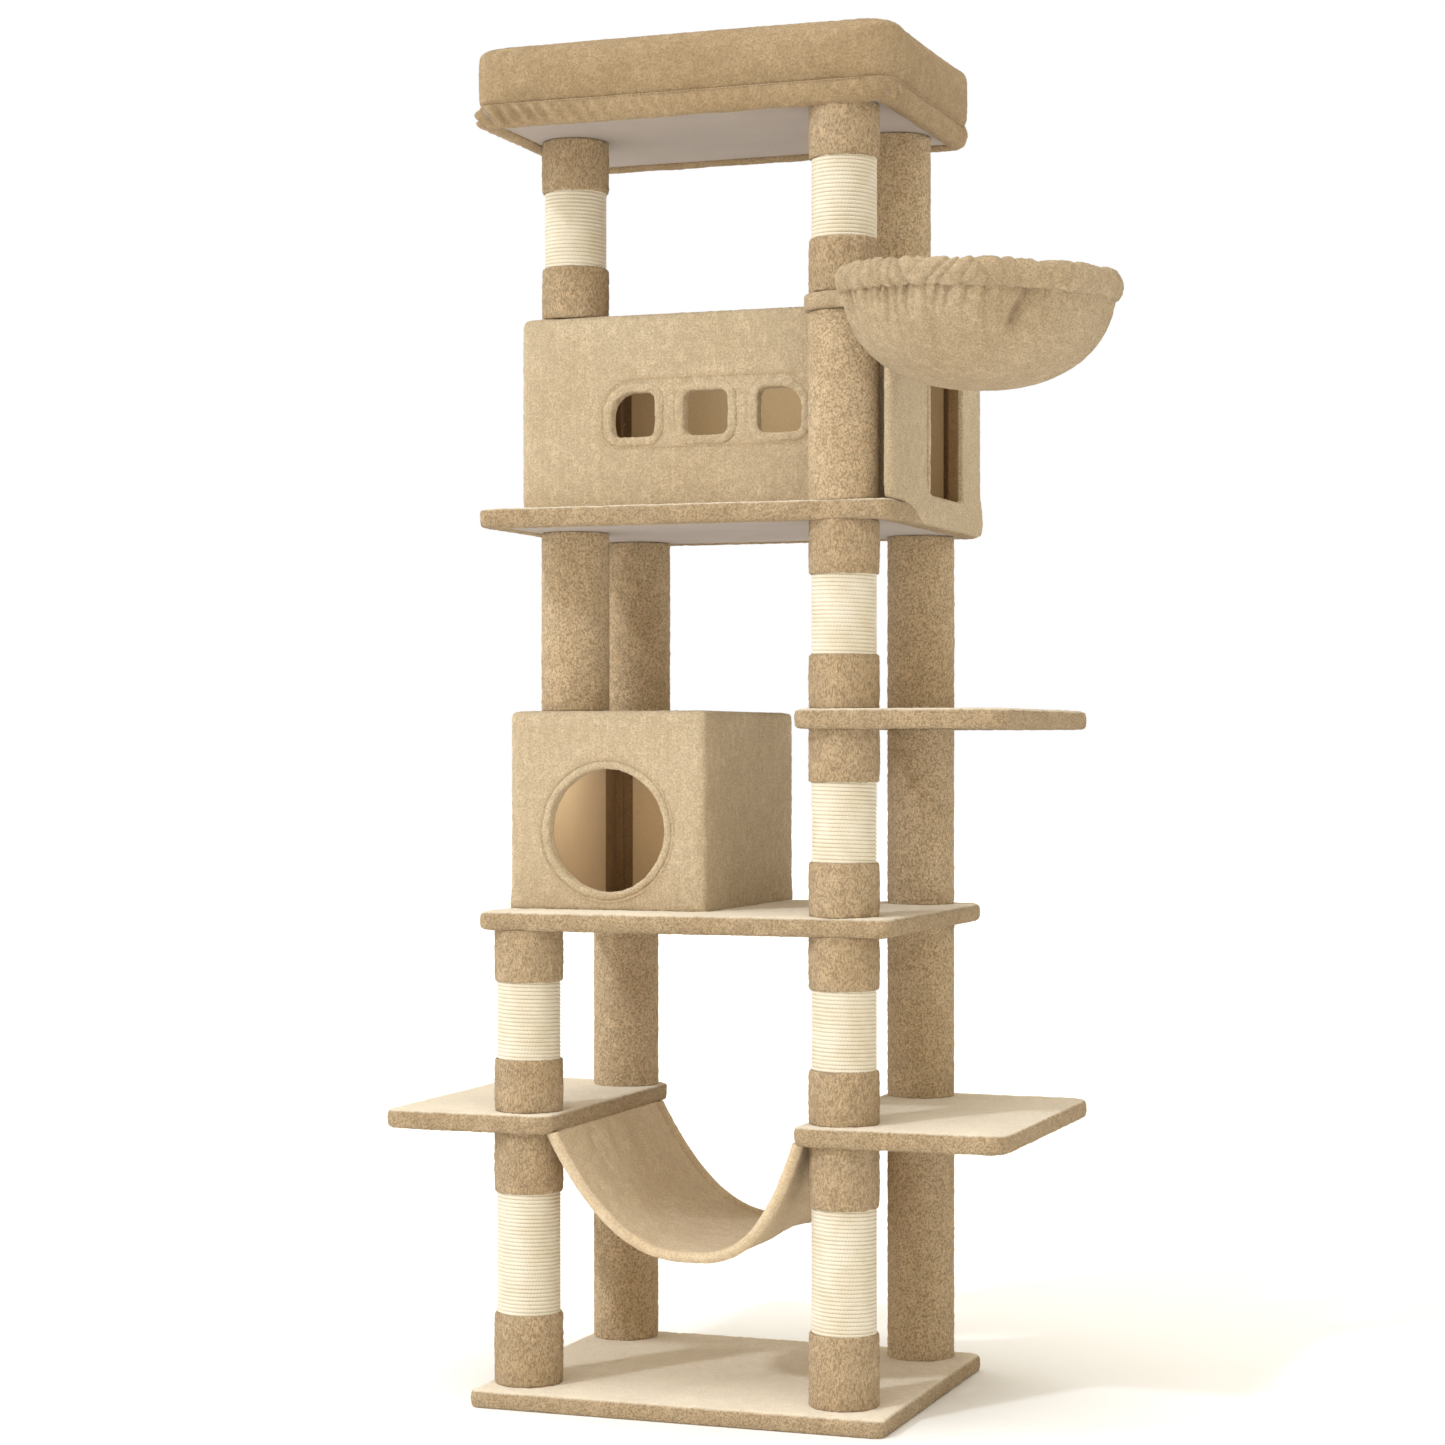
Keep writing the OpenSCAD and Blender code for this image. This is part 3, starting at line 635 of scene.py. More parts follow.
def make_ropes():
    tree = rope_tree()
    for node in nodes_named("rope_"):
        foot, height, radius = upright(*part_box(node))
        obj = mesh_object(node + "_sisal", [(0, 0, 0)], [], ROPE)
        run_tree(obj, tree, {
            "Coil radius": radius - ROPE_RADIUS + 0.1 * MM, "Height": height + 2 * ROPE_TUCK,
            "Pitch": ROPE_PITCH, "Rope radius": ROPE_RADIUS, "Foot": (foot.x, foot.y, foot.z - ROPE_TUCK)})
        finish_piece(obj, FRAME, "sisal", node)


# ---------------------------------------------------------------- grids and shells

def outward(obj):
    """Turns a closed mesh's faces outwards."""
    work = bmesh.new()
    work.from_mesh(obj.data)
    bmesh.ops.remove_doubles(work, verts=work.verts, dist=0.001 * MM)
    bmesh.ops.recalc_face_normals(work, faces=work.faces)
    work.to_mesh(obj.data)
    work.free()
    shade_smooth(obj.data)
    return obj


def shell(name, points, faces, material):
    """A closed mesh from an array of points, its faces turned outwards."""
    return outward(mesh_object(name, points.reshape(-1, 3), faces, material))


def grid_object(name, points, material):
    """A closed surface from rows by columns of points, which join up both ways."""
    return shell(name, points, grid_faces(*points.shape[:2], True, True), material)


def capped_tube(name, points, material):
    """A tube whose rows are closed loops, with its two ends closed by pairing the loop's two halves."""
    rows, columns = points.shape[:2]
    faces = grid_faces(rows, columns, False, True)
    for row in (0, rows - 1):
        for j in range(columns // 2 - 1):
            a, b = row * columns + j, row * columns + j + 1
            c, d = row * columns + columns - 2 - j, row * columns + columns - 1 - j
            faces.append((a, b, c, d) if b != c else (a, b, d))
    return shell(name, points, faces, material)


def poled_shell(name, rings, first, last, material):
    """A closed shell from rings of points between two poles."""
    rows, columns = rings.shape[:2]
    faces = grid_faces(rows, columns, False, True)
    a, b = rows * columns, rows * columns + 1
    end = (rows - 1) * columns
    for j in range(columns):
        k = (j + 1) % columns
        faces += [(a, k, j), (b, end + j, end + k)]
    return shell(name, np.vstack([rings.reshape(-1, 3), first, last]), faces, material)


def wander(count, seed, smooth):
    """A smooth random line between about -1 and 1, which closes on itself."""
    values = np.random.default_rng(seed).uniform(-1, 1, count)
    kernel = np.hanning(smooth + 2)[1:-1]
    kernel /= kernel.sum()
    line = np.convolve(np.concatenate([values[-smooth:], values, values[:smooth]]), kernel, "same")
    line = line[smooth:-smooth]
    return line / max(1e-9, np.abs(line).max())


def rounded_outline(width, height, radii, step):
    """Points and outward directions round a rectangle centred at 0; radii go from the lower left
    corner, against the clock as seen from outside."""
    corners = [(-1, -1), (1, -1), (1, 1), (-1, 1)]
    points, ways = [], []
    for (sx, sy), radius, start in zip(corners, radii, (180, 270, 0, 90)):
        count = max(4, int(radius * math.pi / 2 / step))
        centre = np.array([sx * (width / 2 - radius), sy * (height / 2 - radius)])
        for a in np.radians(start + np.linspace(0, 90, count)):
            way = np.array([math.cos(a), math.sin(a)])
            points.append(centre + radius * way)
            ways.append(way)
    return resample_loop(np.array(points), np.array(ways), step)


def resample_loop(points, ways, step):
    closed = np.vstack([points, points[:1]])
    turned = np.vstack([ways, ways[:1]])
    run = np.concatenate([[0], np.cumsum(np.linalg.norm(np.diff(closed, axis=0), axis=1))])
    at = np.linspace(0, run[-1], int(run[-1] / step), endpoint=False)
    out = np.stack([np.interp(at, run, closed[:, k]) for k in range(2)], axis=1)
    way = np.stack([np.interp(at, run, turned[:, k]) for k in range(2)], axis=1)
    return out, way / np.linalg.norm(way, axis=1)[:, None]


# ---------------------------------------------------------------- stitches

def stitch_tree():
    """Geometry nodes that lay short stitches along a line of points."""
    n, source = new_tree("stitches", Pitch="Float", Stitch_length="Float", Thread_radius="Float")
    line = n.out("GeometryNodeMeshToCurve", {"Mesh": source["Geometry"]})
    spaced = n.out("GeometryNodeResampleCurve", {"Curve": line, "Length": source["Pitch"]}, mode="LENGTH")
    turn = n.out("FunctionNodeAlignEulerToVector", {"Vector": n.out("GeometryNodeInputTangent")}, axis="Z")
    thread = n.out("GeometryNodeMeshCylinder",
                   {"Vertices": 6, "Side Segments": 3, "Radius": source["Thread radius"],
                    "Depth": source["Stitch length"]})
    place = n.out("GeometryNodeInputPosition")
    along = n.math("DIVIDE", n.split(place)["Z"], source["Stitch length"])
    taper = n.minus(1.0, n.times(n.times(along, along), 2.6))
    flat = n.out("ShaderNodeCombineXYZ", {"X": taper, "Y": taper, "Z": 1.0})
    shaped = n.out("GeometryNodeSetPosition",
                   {"Geometry": thread, "Position": n.vector("MULTIPLY", {0: place, 1: flat})})
    laid = n.out("GeometryNodeInstanceOnPoints", {"Points": spaced, "Instance": shaped, "Rotation": turn})
    return end_tree(n, laid, source["Material"])


STITCH_TREE = stitch_tree()


def stitch_line(name, points, slot, pitch, length, radius, closed=True):
    count = len(points)
    edges = [(i, (i + 1) % count) for i in range(count if closed else count - 1)]
    obj = mesh_object(name, points, [], THREAD, edges)
    run_tree(obj, STITCH_TREE, {"Pitch": pitch, "Stitch length": length, "Thread radius": radius})
    return finish_piece(obj, FRAME, slot)


# ---------------------------------------------------------------- houses

def wall_place(middle, height, face, faces_right=False):
    """Places a flat outline on a wall that faces the front, or right: across, up, out of the wall."""
    def place(points, out):
        across, up = middle + points[:, 0], height + points[:, 1]
        depth = np.full(len(points), face)
        return np.stack([depth + out, across, up] if faces_right else [across, depth - out, up], axis=1)
    return place


def rim_roll(name, outline, ways, place, wall, width, proud, seed):
    """A rolled plush edge round a hole, from the wall's face through the hole to its inner face."""
    w, p, inset = width, proud * 0.5, 1.5 * MM
    section = [(w, -3 * MM), (w * 0.86, p * 0.15), (w * 0.64, p * 0.7), (w * 0.40, p),
               (w * 0.12, p * 0.8), (-inset * 0.7, p * 0.25), (-inset, -3 * MM), (-inset, -wall * 0.35),
               (-inset, -wall * 0.7), (-inset, -wall + 2 * MM), (-inset * 0.6, -wall - p * 0.3),
               (w * 0.2, -wall - p * 0.7), (w * 0.6, -wall - p * 0.6), (w * 0.85, -wall + 1 * MM),
               (w * 0.8, -wall * 0.5)]
    rows = [place(outline + ways * across, out) for across, out in section]
    obj = grid_object(name, np.array(rows), WALL)
    return plush_piece(obj, FRAME, "plush", (1.5 * MM, 6 * MM, seed))


def prism(points_yz, x0, x1):
    """A closed prism across X from a loop of (y, z) points."""
    count = len(points_yz)
    verts = [(x, y, z) for x in (x0, x1) for y, z in points_yz]
    faces = [tuple(range(count)), tuple(range(2 * count - 1, count - 1, -1))]
    faces += [(i, (i + 1) % count, count + (i + 1) % count, count + i) for i in range(count)]
    return verts, faces


def soften(obj, rounds=34, foot=10 * MM, blend=26 * MM):
    """Rounds a house's corners further, and leaves its foot square on the floor below."""
    before = positions(obj)
    modified(obj, ("SMOOTH", {"factor": 0.5, "iterations": rounds}))
    above = before[:, 2] - before[:, 2].min() - foot
    share = np.clip(above / blend, 0, 1)[:, None]
    set_positions(obj, before + (positions(obj) - before) * share)


def house_skin(name, nodes, voxel, seed, extra=None):
    """The plush over a house's walls and roof in one piece, with a loose flap where extra is given."""
    obj = merged_copy(name, nodes, WALL)
    if extra:
        obj = join(name, [obj, outward(mesh_object("added", *extra, WALL))])
    remeshed(obj, voxel, 10)
    soften(obj)
    return plush_piece(obj, FRAME, "plush", (1.1 * MM, 7 * MM, seed), *nodes)


def soft_slab(name, low, high, material, edge=1.5 * MM):
    """A thin slab of cloth between two corners, its edges softened."""
    (x0, y0, z0), (x1, y1, z1) = low, high
    obj = outward(mesh_object(name, *prism([(y0, z0), (y1, z0), (y1, z1), (y0, z1)], x0, x1), material))
    modified(obj, ("BEVEL", {"width": edge, "segments": 3}))
    shade_smooth(obj.data)
    return obj


def inner_panel(name, low, high, material=LINING):
    return finish_piece(soft_slab(name, low, high, material, 1.2 * MM), FRAME, "plush")


def house_linings(prefix, x0, x1, y0, y1, z0, z1, strips, right_panel=True):
    """Cloth panels on a house's inner faces, and dark plush panels of painted shade in its back corners. The
    strips are the widths of that painted shade on the back wall's left and right and on the left wall's back."""
    t, over, front = 3.2 * MM, 1 * MM, y0 + 6 * MM
    back_left, back_right, side_back = strips
    panels = [
        ("lining_back", (x0 + back_left, y1 - t, z0), (x1 - back_right, y1 + over, z1), LINING),
        ("lining_left", (x0 - over, front, z0), (x0 + t, y1 - side_back, z1), LINING),
        right_panel and ("lining_right", (x1 - t, front, z0), (x1 + over, y1 - side_back, z1), LINING),
        # Painted shade: dark plush panels in the back corners, where shade falls.
        ("corner_back", (x0 - over, y1 - t / 2, z0), (x0 + back_left, y1 + over, z1), SHADED),
        ("corner_left", (x0 - over, y1 - side_back, z0), (x0 + t / 2, y1, z1), SHADED),
        ("corner_fold", (x0 - over, y1 - 12 * MM, z0), (x0 + 12 * MM, y1 + over, z1), SHADED),
        back_right and ("corner_right", (x1 - back_right, y1 - t / 2, z0), (x1, y1 + over, z1), SHADED),
        ("lining_roof", (x0 + 8 * MM, y0 + 8 * MM, z1 - t + 4 * MM), (x1 - 8 * MM, y1 - 8 * MM, z1 + 5 * MM),
         LINING)]
    for label, low, high, material in filter(None, panels):
        inner_panel(f"{prefix}_{label}", low, high, material)


def house_parts(house):
    return [f"{house}_{part}" for part in ("front", "back", "left", "right", "roof")]


def make_lower_house():
    house_skin("lower_house_plush", house_parts("lower_house"), HOUSE_VOXEL, 61.0)
    low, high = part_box("lower_house_front")
    back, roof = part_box("lower_house_back"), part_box("lower_house_roof")
    wall = high.y - low.y
    angles = np.linspace(0, 2 * math.pi, 190, endpoint=False)
    ways = np.stack([np.cos(angles), np.sin(angles)], axis=1)
    place = wall_place(DOOR_X, low.z + DOOR_Z, low.y)
    rim_roll("lower_door_rim", ways * DOOR_RADIUS, ways, place, wall, 10 * MM, 4.0 * MM, 62.0)
    stitch_line("lower_door_stitches", place(ways * (DOOR_RADIUS + 12.5 * MM), 1.2 * MM), "plush",
                pitch=4.6 * MM, length=4.6 * MM, radius=0.7 * MM)
    house_linings("lower_house", low.x + wall, high.x - wall, high.y, back[0].y, low.z, roof[0].z,
                  (26 * MM, 0.0, 54 * MM))


def window_outline(which):
    big, small = 33 * MM, 14 * MM
    radii = [small, small, big if which > 0 else small, big if which < 0 else small]
    return rounded_outline(68 * MM, 66 * MM, radii, 2.4 * MM)


def side_flap(floor_low, floor_high, side_high):
    """The right wall's plush hangs over the floor board's edge, and is cut away towards the front."""
    bottom, back_y = floor_low.z - 1.5 * MM, side_high.y + 1 * MM
    top, corner = floor_high.z + 22 * MM, 24 * MM
    arc = [(back_y - corner + corner * math.sin(a), bottom + corner - corner * math.cos(a))
           for a in np.linspace(0, math.pi / 2, 8)]
    outline = [(-0.150, floor_high.z + 2 * MM), (-0.120, floor_high.z - 3 * MM),
               (-0.085, floor_low.z + 7 * MM), (-0.050, bottom), *arc, (back_y, top), (-0.150, top)]
    return prism(outline, side_high.x - 8 * MM, side_high.x + 3.5 * MM)


def make_upper_house():
    side_low, side_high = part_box("upper_house_right")
    house_skin("upper_house_plush", house_parts("upper_house"), UPPER_HOUSE_VOXEL, 71.0,
               side_flap(*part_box("upper_floor_cover"), side_high))
    low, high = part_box("upper_house_front")
    back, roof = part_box("upper_house_back"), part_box("upper_house_roof")
    wall = high.y - low.y

    for which, label in ((-1, "left"), (0, "middle"), (1, "right")):
        outline, ways = window_outline(which)
        place = wall_place(WINDOW_X + which * WINDOW_PITCH, low.z + WINDOW_Z, low.y)
        rim_roll(f"window_rim_{label}", outline, ways, place, wall, 13 * MM, 2.6 * MM, 72.0 + which)
    outline, _ = rounded_outline(314 * MM, 97 * MM, [26 * MM, 26 * MM, 48 * MM, 48 * MM], 2 * MM)
    place = wall_place(WINDOW_X, low.z + WINDOW_Z + 3 * MM, low.y)
    stitch_line("window_panel_stitches", place(outline, 1.6 * MM), "plush",
                pitch=4.6 * MM, length=4.2 * MM, radius=0.8 * MM)

    door_front, jamb = SIDE_DOOR_Y
    radii = [4 * MM, 4 * MM, 26 * MM, 26 * MM]
    outline, ways = rounded_outline(jamb - door_front, SIDE_DOOR_H, radii, 3 * MM)
    place = wall_place(sum(SIDE_DOOR_Y) / 2, side_low.z + SIDE_DOOR_H / 2 + 1.5 * MM, side_high.x, True)
    rim_roll("side_door_rim", outline, ways, place, wall, 9 * MM, 3.5 * MM, 76.0)
    # Painted shade: a dark plush slab on the side door's back jamb.
    inner_panel("upper_house_jamb_shade", (side_low.x - 3 * MM, jamb - 5 * MM, side_low.z + 2 * MM),
           (side_high.x - 6 * MM, jamb - 1 * MM, side_low.z + SIDE_DOOR_H - 8 * MM), SHADED)
    house_linings("upper_house", low.x + wall, side_low.x, high.y, back[0].y, low.z, roof[0].z,
                  (24 * MM, 35 * MM, 30 * MM), right_panel=False)


# ---------------------------------------------------------------- hammock

def hammock_line(count):
    """The hammock's middle line between the ledges as (x, z), evenly spaced, and its length."""
    low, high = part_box("hammock")
    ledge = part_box("left_ledge_cover")[0].z
    left, right = low.x + FLAP, high.x - FLAP
    bottom = low.z + 2.5 * MM
    across = np.linspace(left, right, 400)
    on_left = across < HAMMOCK_LOW
    u = np.where(on_left, (HAMMOCK_LOW - across) / (HAMMOCK_LOW - left),
                 (across - HAMMOCK_LOW) / (right - HAMMOCK_LOW))
    z = bottom + (ledge - bottom) * u ** np.where(on_left, 2.3, 3.0)
    run = np.concatenate([[0], np.cumsum(np.hypot(np.diff(across), np.diff(z)))])
    at = np.linspace(0, run[-1], count)
    return np.stack([np.interp(at, run, across), np.interp(at, run, z)], axis=1), run[-1]


def make_hammock():
    low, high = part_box("hammock")
    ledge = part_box("left_ledge_cover")[0].z
    line, length = hammock_line(190)
    depth = high.y - low.y
    tangent = np.gradient(line, axis=0)
    tangent /= np.linalg.norm(tangent, axis=1)[:, None]
    up = np.stack([-tangent[:, 1], tangent[:, 0]], axis=1)
    across = np.concatenate([np.linspace(0, 0.06, 9)[:-1], np.linspace(0.06, 0.94, 96)[:-1],
                             np.linspace(0.94, 1, 9)])

    edge = np.minimum(across, 1 - across) * depth
    half = 2.4 * MM + 5.0 * MM * np.exp(-((edge - 9 * MM) / (9.5 * MM)) ** 4)
    half -= 2.0 * MM * np.exp(-((edge - 21 * MM) / (3.0 * MM)) ** 2)
    half *= np.sqrt(np.clip(edge / (2.4 * MM), 0.02, 1))
    t, v = np.linspace(0, 1, len(line))[:, None], across[None, :]
    ends = np.exp(-t * 7) + np.exp(-(1 - t) * 7)
    sway = 2.2 * MM * np.sin(9.0 * v + 3.2 * t) * np.sin(math.pi * t)
    pulls = 4.2 * MM * ends * np.sin(34 * v + 5.5 * t + 0.6) * np.sin(math.pi * v)
    crease = -4.5 * MM * np.exp(-(((v - 0.62 - 0.25 * t) / 0.035) ** 2)) * np.exp(-((t - 0.80) / 0.16) ** 2)
    lift = (sway + pulls + crease) * np.clip(t / 0.04, 0, 1) * np.clip((1 - t) / 0.04, 0, 1)

    def raised(offset):
        """The cloth's points, row by row, at an offset from its middle line."""
        x, z = (line[:, k:k + 1] + up[:, k:k + 1] * offset for k in (0, 1))
        return np.stack([x, np.broadcast_to(low.y + across * depth, x.shape), z], axis=2)

    skin = np.concatenate([raised(lift + half), raised(lift - half)[:, ::-1]], axis=1)
    obj = capped_tube("hammock_cloth", skin, HANGING)
    raise_pile(obj, 0.8 * MM, 7 * MM, 81.0)
    keep_height(obj, high=ledge + 1.0 * MM)
    finish_piece(obj, FRAME, "soft_plush", "hammock")

    flaps = []
    middle, half_width, lap = (low.y + high.y) / 2, 110 * MM, 2 * MM
    for side, x in ((-1, line[0, 0]), (1, line[-1, 0])):
        x0, x1 = sorted((x - side * lap, x + side * FLAP))
        flaps.append(soft_slab("flap", (x0, middle - half_width, ledge - 5 * MM),
                               (x1, middle + half_width, ledge - 0.2 * MM), SOFT))
    flaps = finish_piece(join("hammock_flaps", flaps), FRAME, "soft_plush")

    for label, y in (("front", 20 * MM), ("back", depth - 20 * MM)):
        column = int(np.argmin(np.abs(across - y / depth)))
        points = raised(lift + 2.0 * MM)[3:-3, column]
        points[:, 1] = low.y + y
        stitch_line(f"hammock_stitches_{label}", points, "soft_plush", pitch=4.8 * MM, length=4.0 * MM,
                    radius=0.6 * MM, closed=False)


# ---------------------------------------------------------------- basket

def basket_frame():
    """The matrix from the drooping ring's own space, centred on the ring, to the shared frame."""
    pivot = Vector(frame["record"]["behaviour"]["joints"][0]["pos_m"])
    arm = Matrix.Translation(pivot) @ Matrix.Rotation(RING_TURN, 4, "Z")
    droop = (Matrix.Translation((PLATE_RADIUS, 0, 0)) @ Matrix.Rotation(RING_DROOP, 4, "Y")
             @ Matrix.Translation((RING_REACH - PLATE_RADIUS, 0, 0)))
    return arm @ droop


def pulled(theta):
    """How strongly the cloth is gathered at an angle round the ring, in the ring's own space."""
    world = theta + RING_TURN
    middle = math.radians(215)
    away = np.abs((world - middle + math.pi) % (2 * math.pi) - math.pi)
    return 0.22 + 0.78 * np.clip(1.35 - away / math.radians(95), 0, 1)


def gathers(seed=5):
    """Where the gathering thread pinches the cloth: angle, depth, lean and length of each pleat."""
    pick = np.random.default_rng(seed)
    spots = []
    angle = 0.0
    while angle < 2 * math.pi - 0.06:
        depth = pick.uniform(0.45, 1.0) * float(pulled(np.array(angle)))
        spots.append((angle, depth, pick.uniform(-0.10, 0.10), pick.uniform(0.26, 0.60)))
        angle += pick.uniform(0.062, 0.150)
    return spots


def pleat(away, steep, gentle):
    """A fold's depth across it: it drops steeply on one side and comes up gently on the other."""
    away = (away + math.pi) % (2 * math.pi) - math.pi
    return np.exp(-np.abs(away / np.where(away < 0, steep, gentle)) ** 1.5)


def basket_rim(place, count, theta, spots):
    """The padded roll round the ring, pinched by each pleat."""
    rise, half_t, half_h = 4.5 * MM, 10 * MM, 17.5 * MM
    fat, high, sway = wander(count, 9, 31), wander(count, 10, 37), wander(count, 12, 41)
    rows = []
    for phi in np.linspace(0, 2 * math.pi, 48, endpoint=False):
        dip = np.zeros(count)
        for angle, depth, lean, _ in spots:
            dip = np.maximum(dip, depth * pleat(theta - angle - lean * math.sin(phi), 0.016, 0.030))
        thick = half_t * (1.12 + 0.10 * fat - 0.60 * dip)
        tall = half_h * (1.05 + 0.08 * high - 0.30 * dip)
        r = RING_RADIUS - 2 * MM + thick * math.cos(phi)
        z = rise + tall * math.sin(phi) + 1.6 * MM * sway
        rows.append(np.stack([r * np.cos(theta), r * np.sin(theta), z], axis=1))
    rim = grid_object("basket_rim", np.array(rows), SOFT)
    rim.data.transform(place)
    plush_piece(rim, BASKET, "soft_plush", (1.3 * MM, 6 * MM, 91.0))
    return rim


def basket_shell(shell, count, theta, spots, steps=56):
    """Rings of one side of the bowl's cloth, from its top to near its bottom."""
    top_r, start = RING_RADIUS + 1 * MM, 4 * MM
    front = math.radians(306.5) - RING_TURN
    ripple = wander(count, 15, 75)
    rings = []
    for a in np.linspace(0, math.radians(86), steps):
        sin_a = math.sin(a)
        r = (top_r - shell) * math.cos(a) ** 0.88
        width = 1 + 1.6 * sin_a
        for angle, deep, lean, length in spots:
            fold = pleat(theta - angle + lean * sin_a, 0.018 * width, 0.042 * width)
            r = r - 14 * MM * deep * fold * math.exp(-(sin_a / length) ** 2)
        big = pleat(theta - front + 0.26 * sin_a, 0.024, 0.075)
        r = r - 15 * MM * big * math.exp(-((sin_a - 0.22) / 0.30) ** 2)
        r = r + 3 * MM * sin_a * math.cos(a) * ripple
        z = -start - (BOWL_DEPTH - start - shell) * sin_a
        rings.append(np.stack([r * np.cos(theta), r * np.sin(theta), np.full(count, z)], axis=1))
    return np.array(rings)


def make_basket():
    place, spots = basket_frame(), gathers()
    count, cloth = 620, 5 * MM
    theta = np.linspace(0, 2 * math.pi, count, endpoint=False)
    rim = basket_rim(place, count, theta, spots)

    outer, inner = (basket_shell(shell, count, theta, spots) for shell in (0.0, cloth))
    bowl = poled_shell("basket_bowl_cloth", np.concatenate([outer[::-1], inner]),
                       (0, 0, -BOWL_DEPTH), (0, 0, cloth - BOWL_DEPTH), SOFT)
    bowl.data.transform(place)
    plush_piece(bowl, BASKET, "soft_plush", (1.0 * MM, 6.5 * MM, 92.0), "basket_bowl")

    plate = remeshed(merged_copy("basket_plate_plush", ["basket_plate"], SOFT), 3.6 * MM, 5)
    plush_piece(plate, BASKET, "soft_plush", (1.0 * MM, 7 * MM, 93.0), "basket_plate")


# ---------------------------------------------------------------- perch

def puffed(obj, pressure, cap, frames=20):
    """Swells a closed skin like a stuffed cushion with a cloth simulation, and keeps each move short."""
    before = positions(obj)
    settings = obj.modifiers.new("stuffing", "CLOTH").settings
    for key, value in {"use_pressure": True, "uniform_pressure_force": pressure, "quality": 6, "mass": 0.3,
                       "tension_stiffness": 12, "bending_stiffness": 0.6}.items():
        setattr(settings, key, value)
    settings.effector_weights.gravity = 0
    scene = bpy.context.scene
    for step in range(1, frames + 1):
        scene.frame_set(step)
    bake_modifiers(obj)
    scene.frame_set(1)
    move = positions(obj) - before
    scale = np.minimum(1, cap / np.maximum(np.linalg.norm(move, axis=1), 1e-9))
    set_positions(obj, before + move * scale[:, None])


def make_cushion(name, node, rounds, swell, pressure, cap, seed, low=-math.inf):
    """A stuffed pad from its CAD solid: swollen, subdivided, and flat where it rests."""
    pad = remeshed(merged_copy(name, [node], CUSHION), CUSHION_VOXEL, rounds)
    set_positions(pad, positions(pad) + normals(pad) * swell)
    puffed(pad, pressure, cap)
    modified(pad, ("SUBSURF", {"levels": 1, "render_levels": 1}))
    keep_height(pad, low)
    plush_piece(pad, FRAME, "cushion_plush", (1.0 * MM, 8 * MM, seed), node)


def make_perch():
    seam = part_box("perch_bolster")[0].z
    make_cushion("perch_bolster_plush", "perch_bolster", rounds=12, swell=2 * MM, pressure=6.0,
                 cap=11 * MM, seed=101.0, low=seam - 1.0 * MM)
    make_cushion("perch_mat_plush", "perch_mat", rounds=5, swell=0.0, pressure=4.0,
                 cap=6 * MM, seed=102.0)
    make_skirt(*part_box("perch_cover"), seam)


def make_skirt(low, high, seam):
    """The perch's plush skirt: gathered at its corners, sewn under the bolster, turned in below."""
    top, step = seam + 1.5 * MM, 2.6 * MM
    size = np.array([high.x - low.x, high.y - low.y])
    centre = np.array([(low.x + high.x) / 2, (low.y + high.y) / 2])
    outline, ways = rounded_outline(*size, [26 * MM] * 4, step)
    count = len(outline)
    run = np.arange(count) * step
    away = {(sx, sy): np.linalg.norm(outline - size * (sx, sy) / 2, axis=1)
            for sx in (-1, 1) for sy in (-1, 1)}
    corner, left_front = np.min(list(away.values()), axis=0), away[-1, -1]
    strength = 0.16 + 0.5 * np.exp(-(corner / 0.07) ** 2) + 1.15 * np.exp(-(left_front / 0.17) ** 2)
    # How far out, how far down, and whether the row is turned in out of sight, in millimetres
    section = [(-5, 0, 1), (-1, -0.2, 0), (2.2, 3.2, 0), (3.8, 8, 0), (4.2, 13, 0), (3.4, 18, 0),
               (1.8, 22.5, 0), (-0.6, 26.5, 0), (-4, 29, 0), (-8, 30.2, 0), (-13, 30.2, 0),
               (-18, 29, 0), (-22, 27, 0), (-24, 24, 1), (-14, 21, 1), (-9, 15, 1), (-7, 6, 1)]
    jitter, drift = wander(count, 21, 25), wander(count, 22, 35)

    def ring(offset, z):
        points = centre + outline + ways * np.reshape(offset, (-1, 1))
        return np.column_stack([points, np.broadcast_to(z, count)])

    rows = []
    for out, down, hidden in section:
        fold = np.sin(2 * math.pi * ((run - 0.9 * down * MM) / (23 * MM)) + 1.5 * drift)
        deep = 0 if hidden else math.sin(math.pi * min(1, max(0, (down - 1) / 30)))
        z = top - down / 29.0 * (top - low.z)
        if down > 24 and not hidden:
            z = z + 0.8 * MM * np.roll(jitter, 40)
        rows.append(ring(out * MM + 4.6 * MM * fold * strength * deep + 0.8 * MM * jitter * deep, z))
    skirt = grid_object("perch_skirt_plush", densify(np.array(rows), 3), CUSHION)
    plush_piece(skirt, FRAME, "cushion_plush", (0.9 * MM, 6 * MM, 103.0), "perch_cover")
    stitch_line("perch_stitches", ring(2.6 * MM, top - 1.5 * MM), "cushion_plush",
                pitch=5.5 * MM, length=4.5 * MM, radius=0.6 * MM)


def densify(rows, times):
    """More rows on a smooth closed path through the given ones."""
    count = len(rows)
    out = []
    for i in range(count):
        p0, p1, p2, p3 = (rows[(i + k - 1) % count] for k in range(4))
        for s in range(times):
            t = s / times
            out.append(0.5 * (2 * p1 + (p2 - p0) * t + (2 * p0 - 5 * p1 + 4 * p2 - p3) * t ** 2
                              + (3 * p1 - p0 - 3 * p2 + p3) * t ** 3))
    return np.array(out)


# ---------------------------------------------------------------- stage and output

def make_stage():
    size = 40.0
    verts = [(-size, -size, 0), (size, -size, 0), (size, size, 0), (-size, size, 0)]
    pale = cloudy_material("studio_floor", 0.9, EVEN, (0.6, 2.0), (0.90, 0.895, 0.885), (0.93, 0.925, 0.915))
    mesh_object("floor", verts, [(0, 1, 2, 3)], pale)


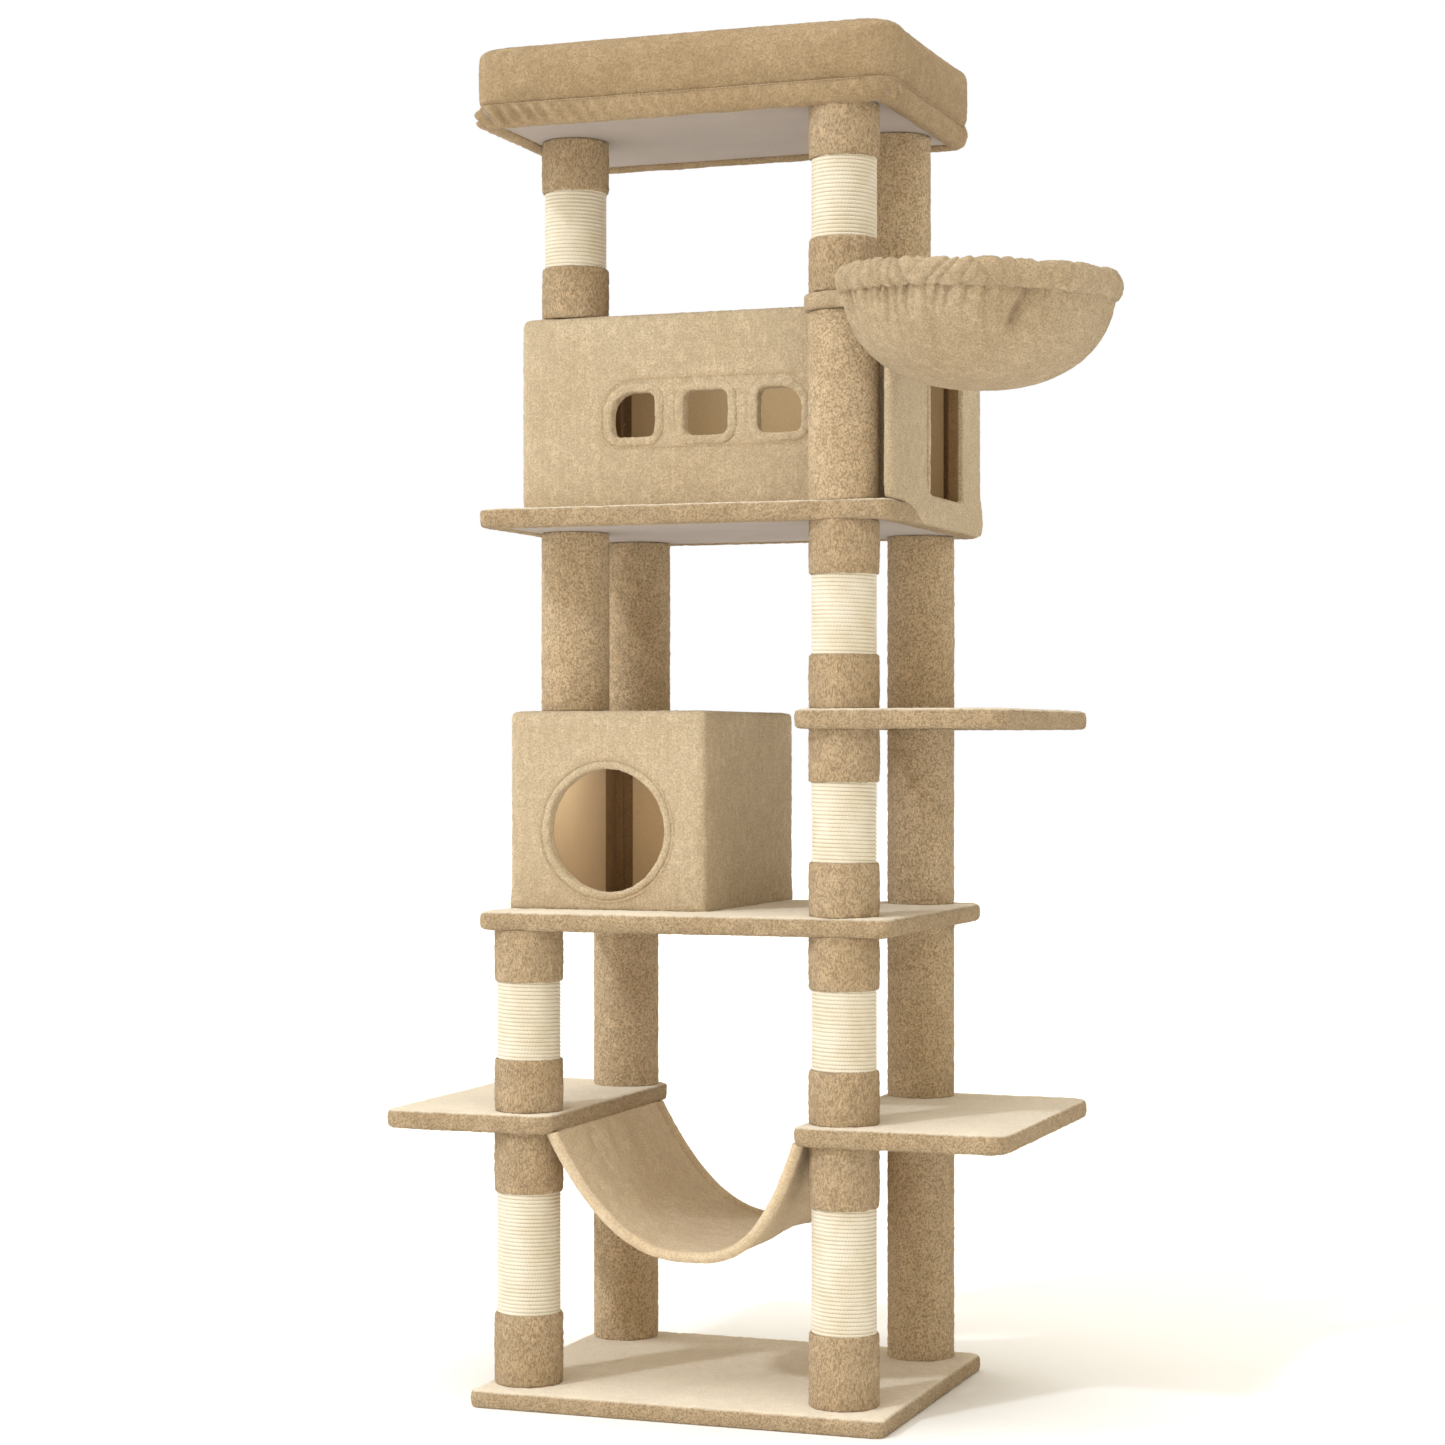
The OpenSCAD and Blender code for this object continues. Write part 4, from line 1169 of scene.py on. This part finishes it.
def make_camera():
    """A level camera in front and to the right, raised a little by its shift."""
    azimuth = math.radians(19.94)
    distance, aside, height = 4.451, -0.0144, 0.916
    forward = Vector((-math.sin(azimuth), math.cos(azimuth), 0))
    right = Vector((math.cos(azimuth), math.sin(azimuth), 0))
    data = bpy.data.cameras.new("camera")
    data.sensor_width, data.lens, data.shift_y, data.clip_end = 36, 77.8, 0.0156, 200
    camera = linked("camera", data)
    camera.location = -forward * distance + right * aside + Vector((0, 0, height))
    camera.rotation_euler = (math.radians(90), 0, azimuth)
    bpy.context.scene.camera = camera


def add_light(kind, name, energy, colour, location, aim, **settings):
    data = bpy.data.lights.new(name, kind)
    data.energy = energy
    data.color = colour
    for key, value in settings.items():
        setattr(data, key, value)
    light = linked(name, data)
    light.location = location
    light.rotation_euler = (Vector(aim) - Vector(location)).to_track_quat("-Z", "Y").to_euler()
    return light


def make_world():
    """Soft even light all round, seen by the camera as plain white."""
    world = bpy.data.worlds.new("studio")
    world.use_nodes = True
    world.node_tree.nodes.clear()
    n = Nodes(world.node_tree)
    fill = n.out("ShaderNodeBackground", {"Color": (1.0, 0.93, 0.78), "Strength": FILL})
    seen = n.out("ShaderNodeBackground", {"Color": (1.0, 1.0, 1.0), "Strength": 1.0})
    path = n.add("ShaderNodeLightPath").outputs["Is Camera Ray"]
    n.add("ShaderNodeOutputWorld", {"Surface": n.out("ShaderNodeMixShader", {0: path, 1: fill, 2: seen})})
    bpy.context.scene.world = world


def make_lights():
    make_world()
    reach = Vector((-0.50, -0.866, 0)) * math.cos(KEY_HEIGHT) + Vector((0, 0, math.sin(KEY_HEIGHT)))
    for name, energy, colour, location, aim, spread in (
            ("left", SIDE, (0.96, 0.975, 1.0), (-8, -2.6, 2.2), (0, 0, 0.6), 25),
            ("key", KEY, (0.83, 0.90, 1.0), reach * 8, (0, 0, 0), 4),
            ("overhead", TOP, (0.96, 0.98, 1.0), (-1.0, -2.0, 8), (0, 0, 0), 60)):
        add_light("SUN", name, energy, colour, location, aim, angle=math.radians(spread))
    for house in ("lower", "upper"):
        low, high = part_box(house + "_house_front")
        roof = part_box(house + "_house_roof")[0].z
        spot = ((low.x + high.x) / 2, high.y + 110 * MM, roof - 40 * MM)
        glow = add_light("POINT", house + "_glow", INSIDE, (0.97, 1.0, 0.95), spot, (spot[0], spot[1], 0),
                         shadow_soft_size=30 * MM)
        glow.visible_camera = False
    bpy.context.scene.view_settings.view_transform = "Standard"


def dress_cad():
    """Gives every CAD node that stays in view its own finish."""
    finishes = {"post_tubes": CARD, "post_plugs": WOOD, "hammock_battens": WOOD}
    steel = ("post_studs", "base_bolts", "base_washers", "roof_bolts", "basket_hoop")
    finishes.update(dict.fromkeys(steel, ZINC))
    for node, obj in frame["nodes"].items():
        obj.data.materials.clear()
        obj.data.materials.append(finishes.get(node, FELT if node.endswith("_board") else PLUSH))


dress_cad()
make_boards()
make_sleeves()
make_collars()
make_ropes()
make_lower_house()
make_upper_house()
make_hammock()
make_basket()
make_perch()
make_stage()
make_camera()
make_lights()
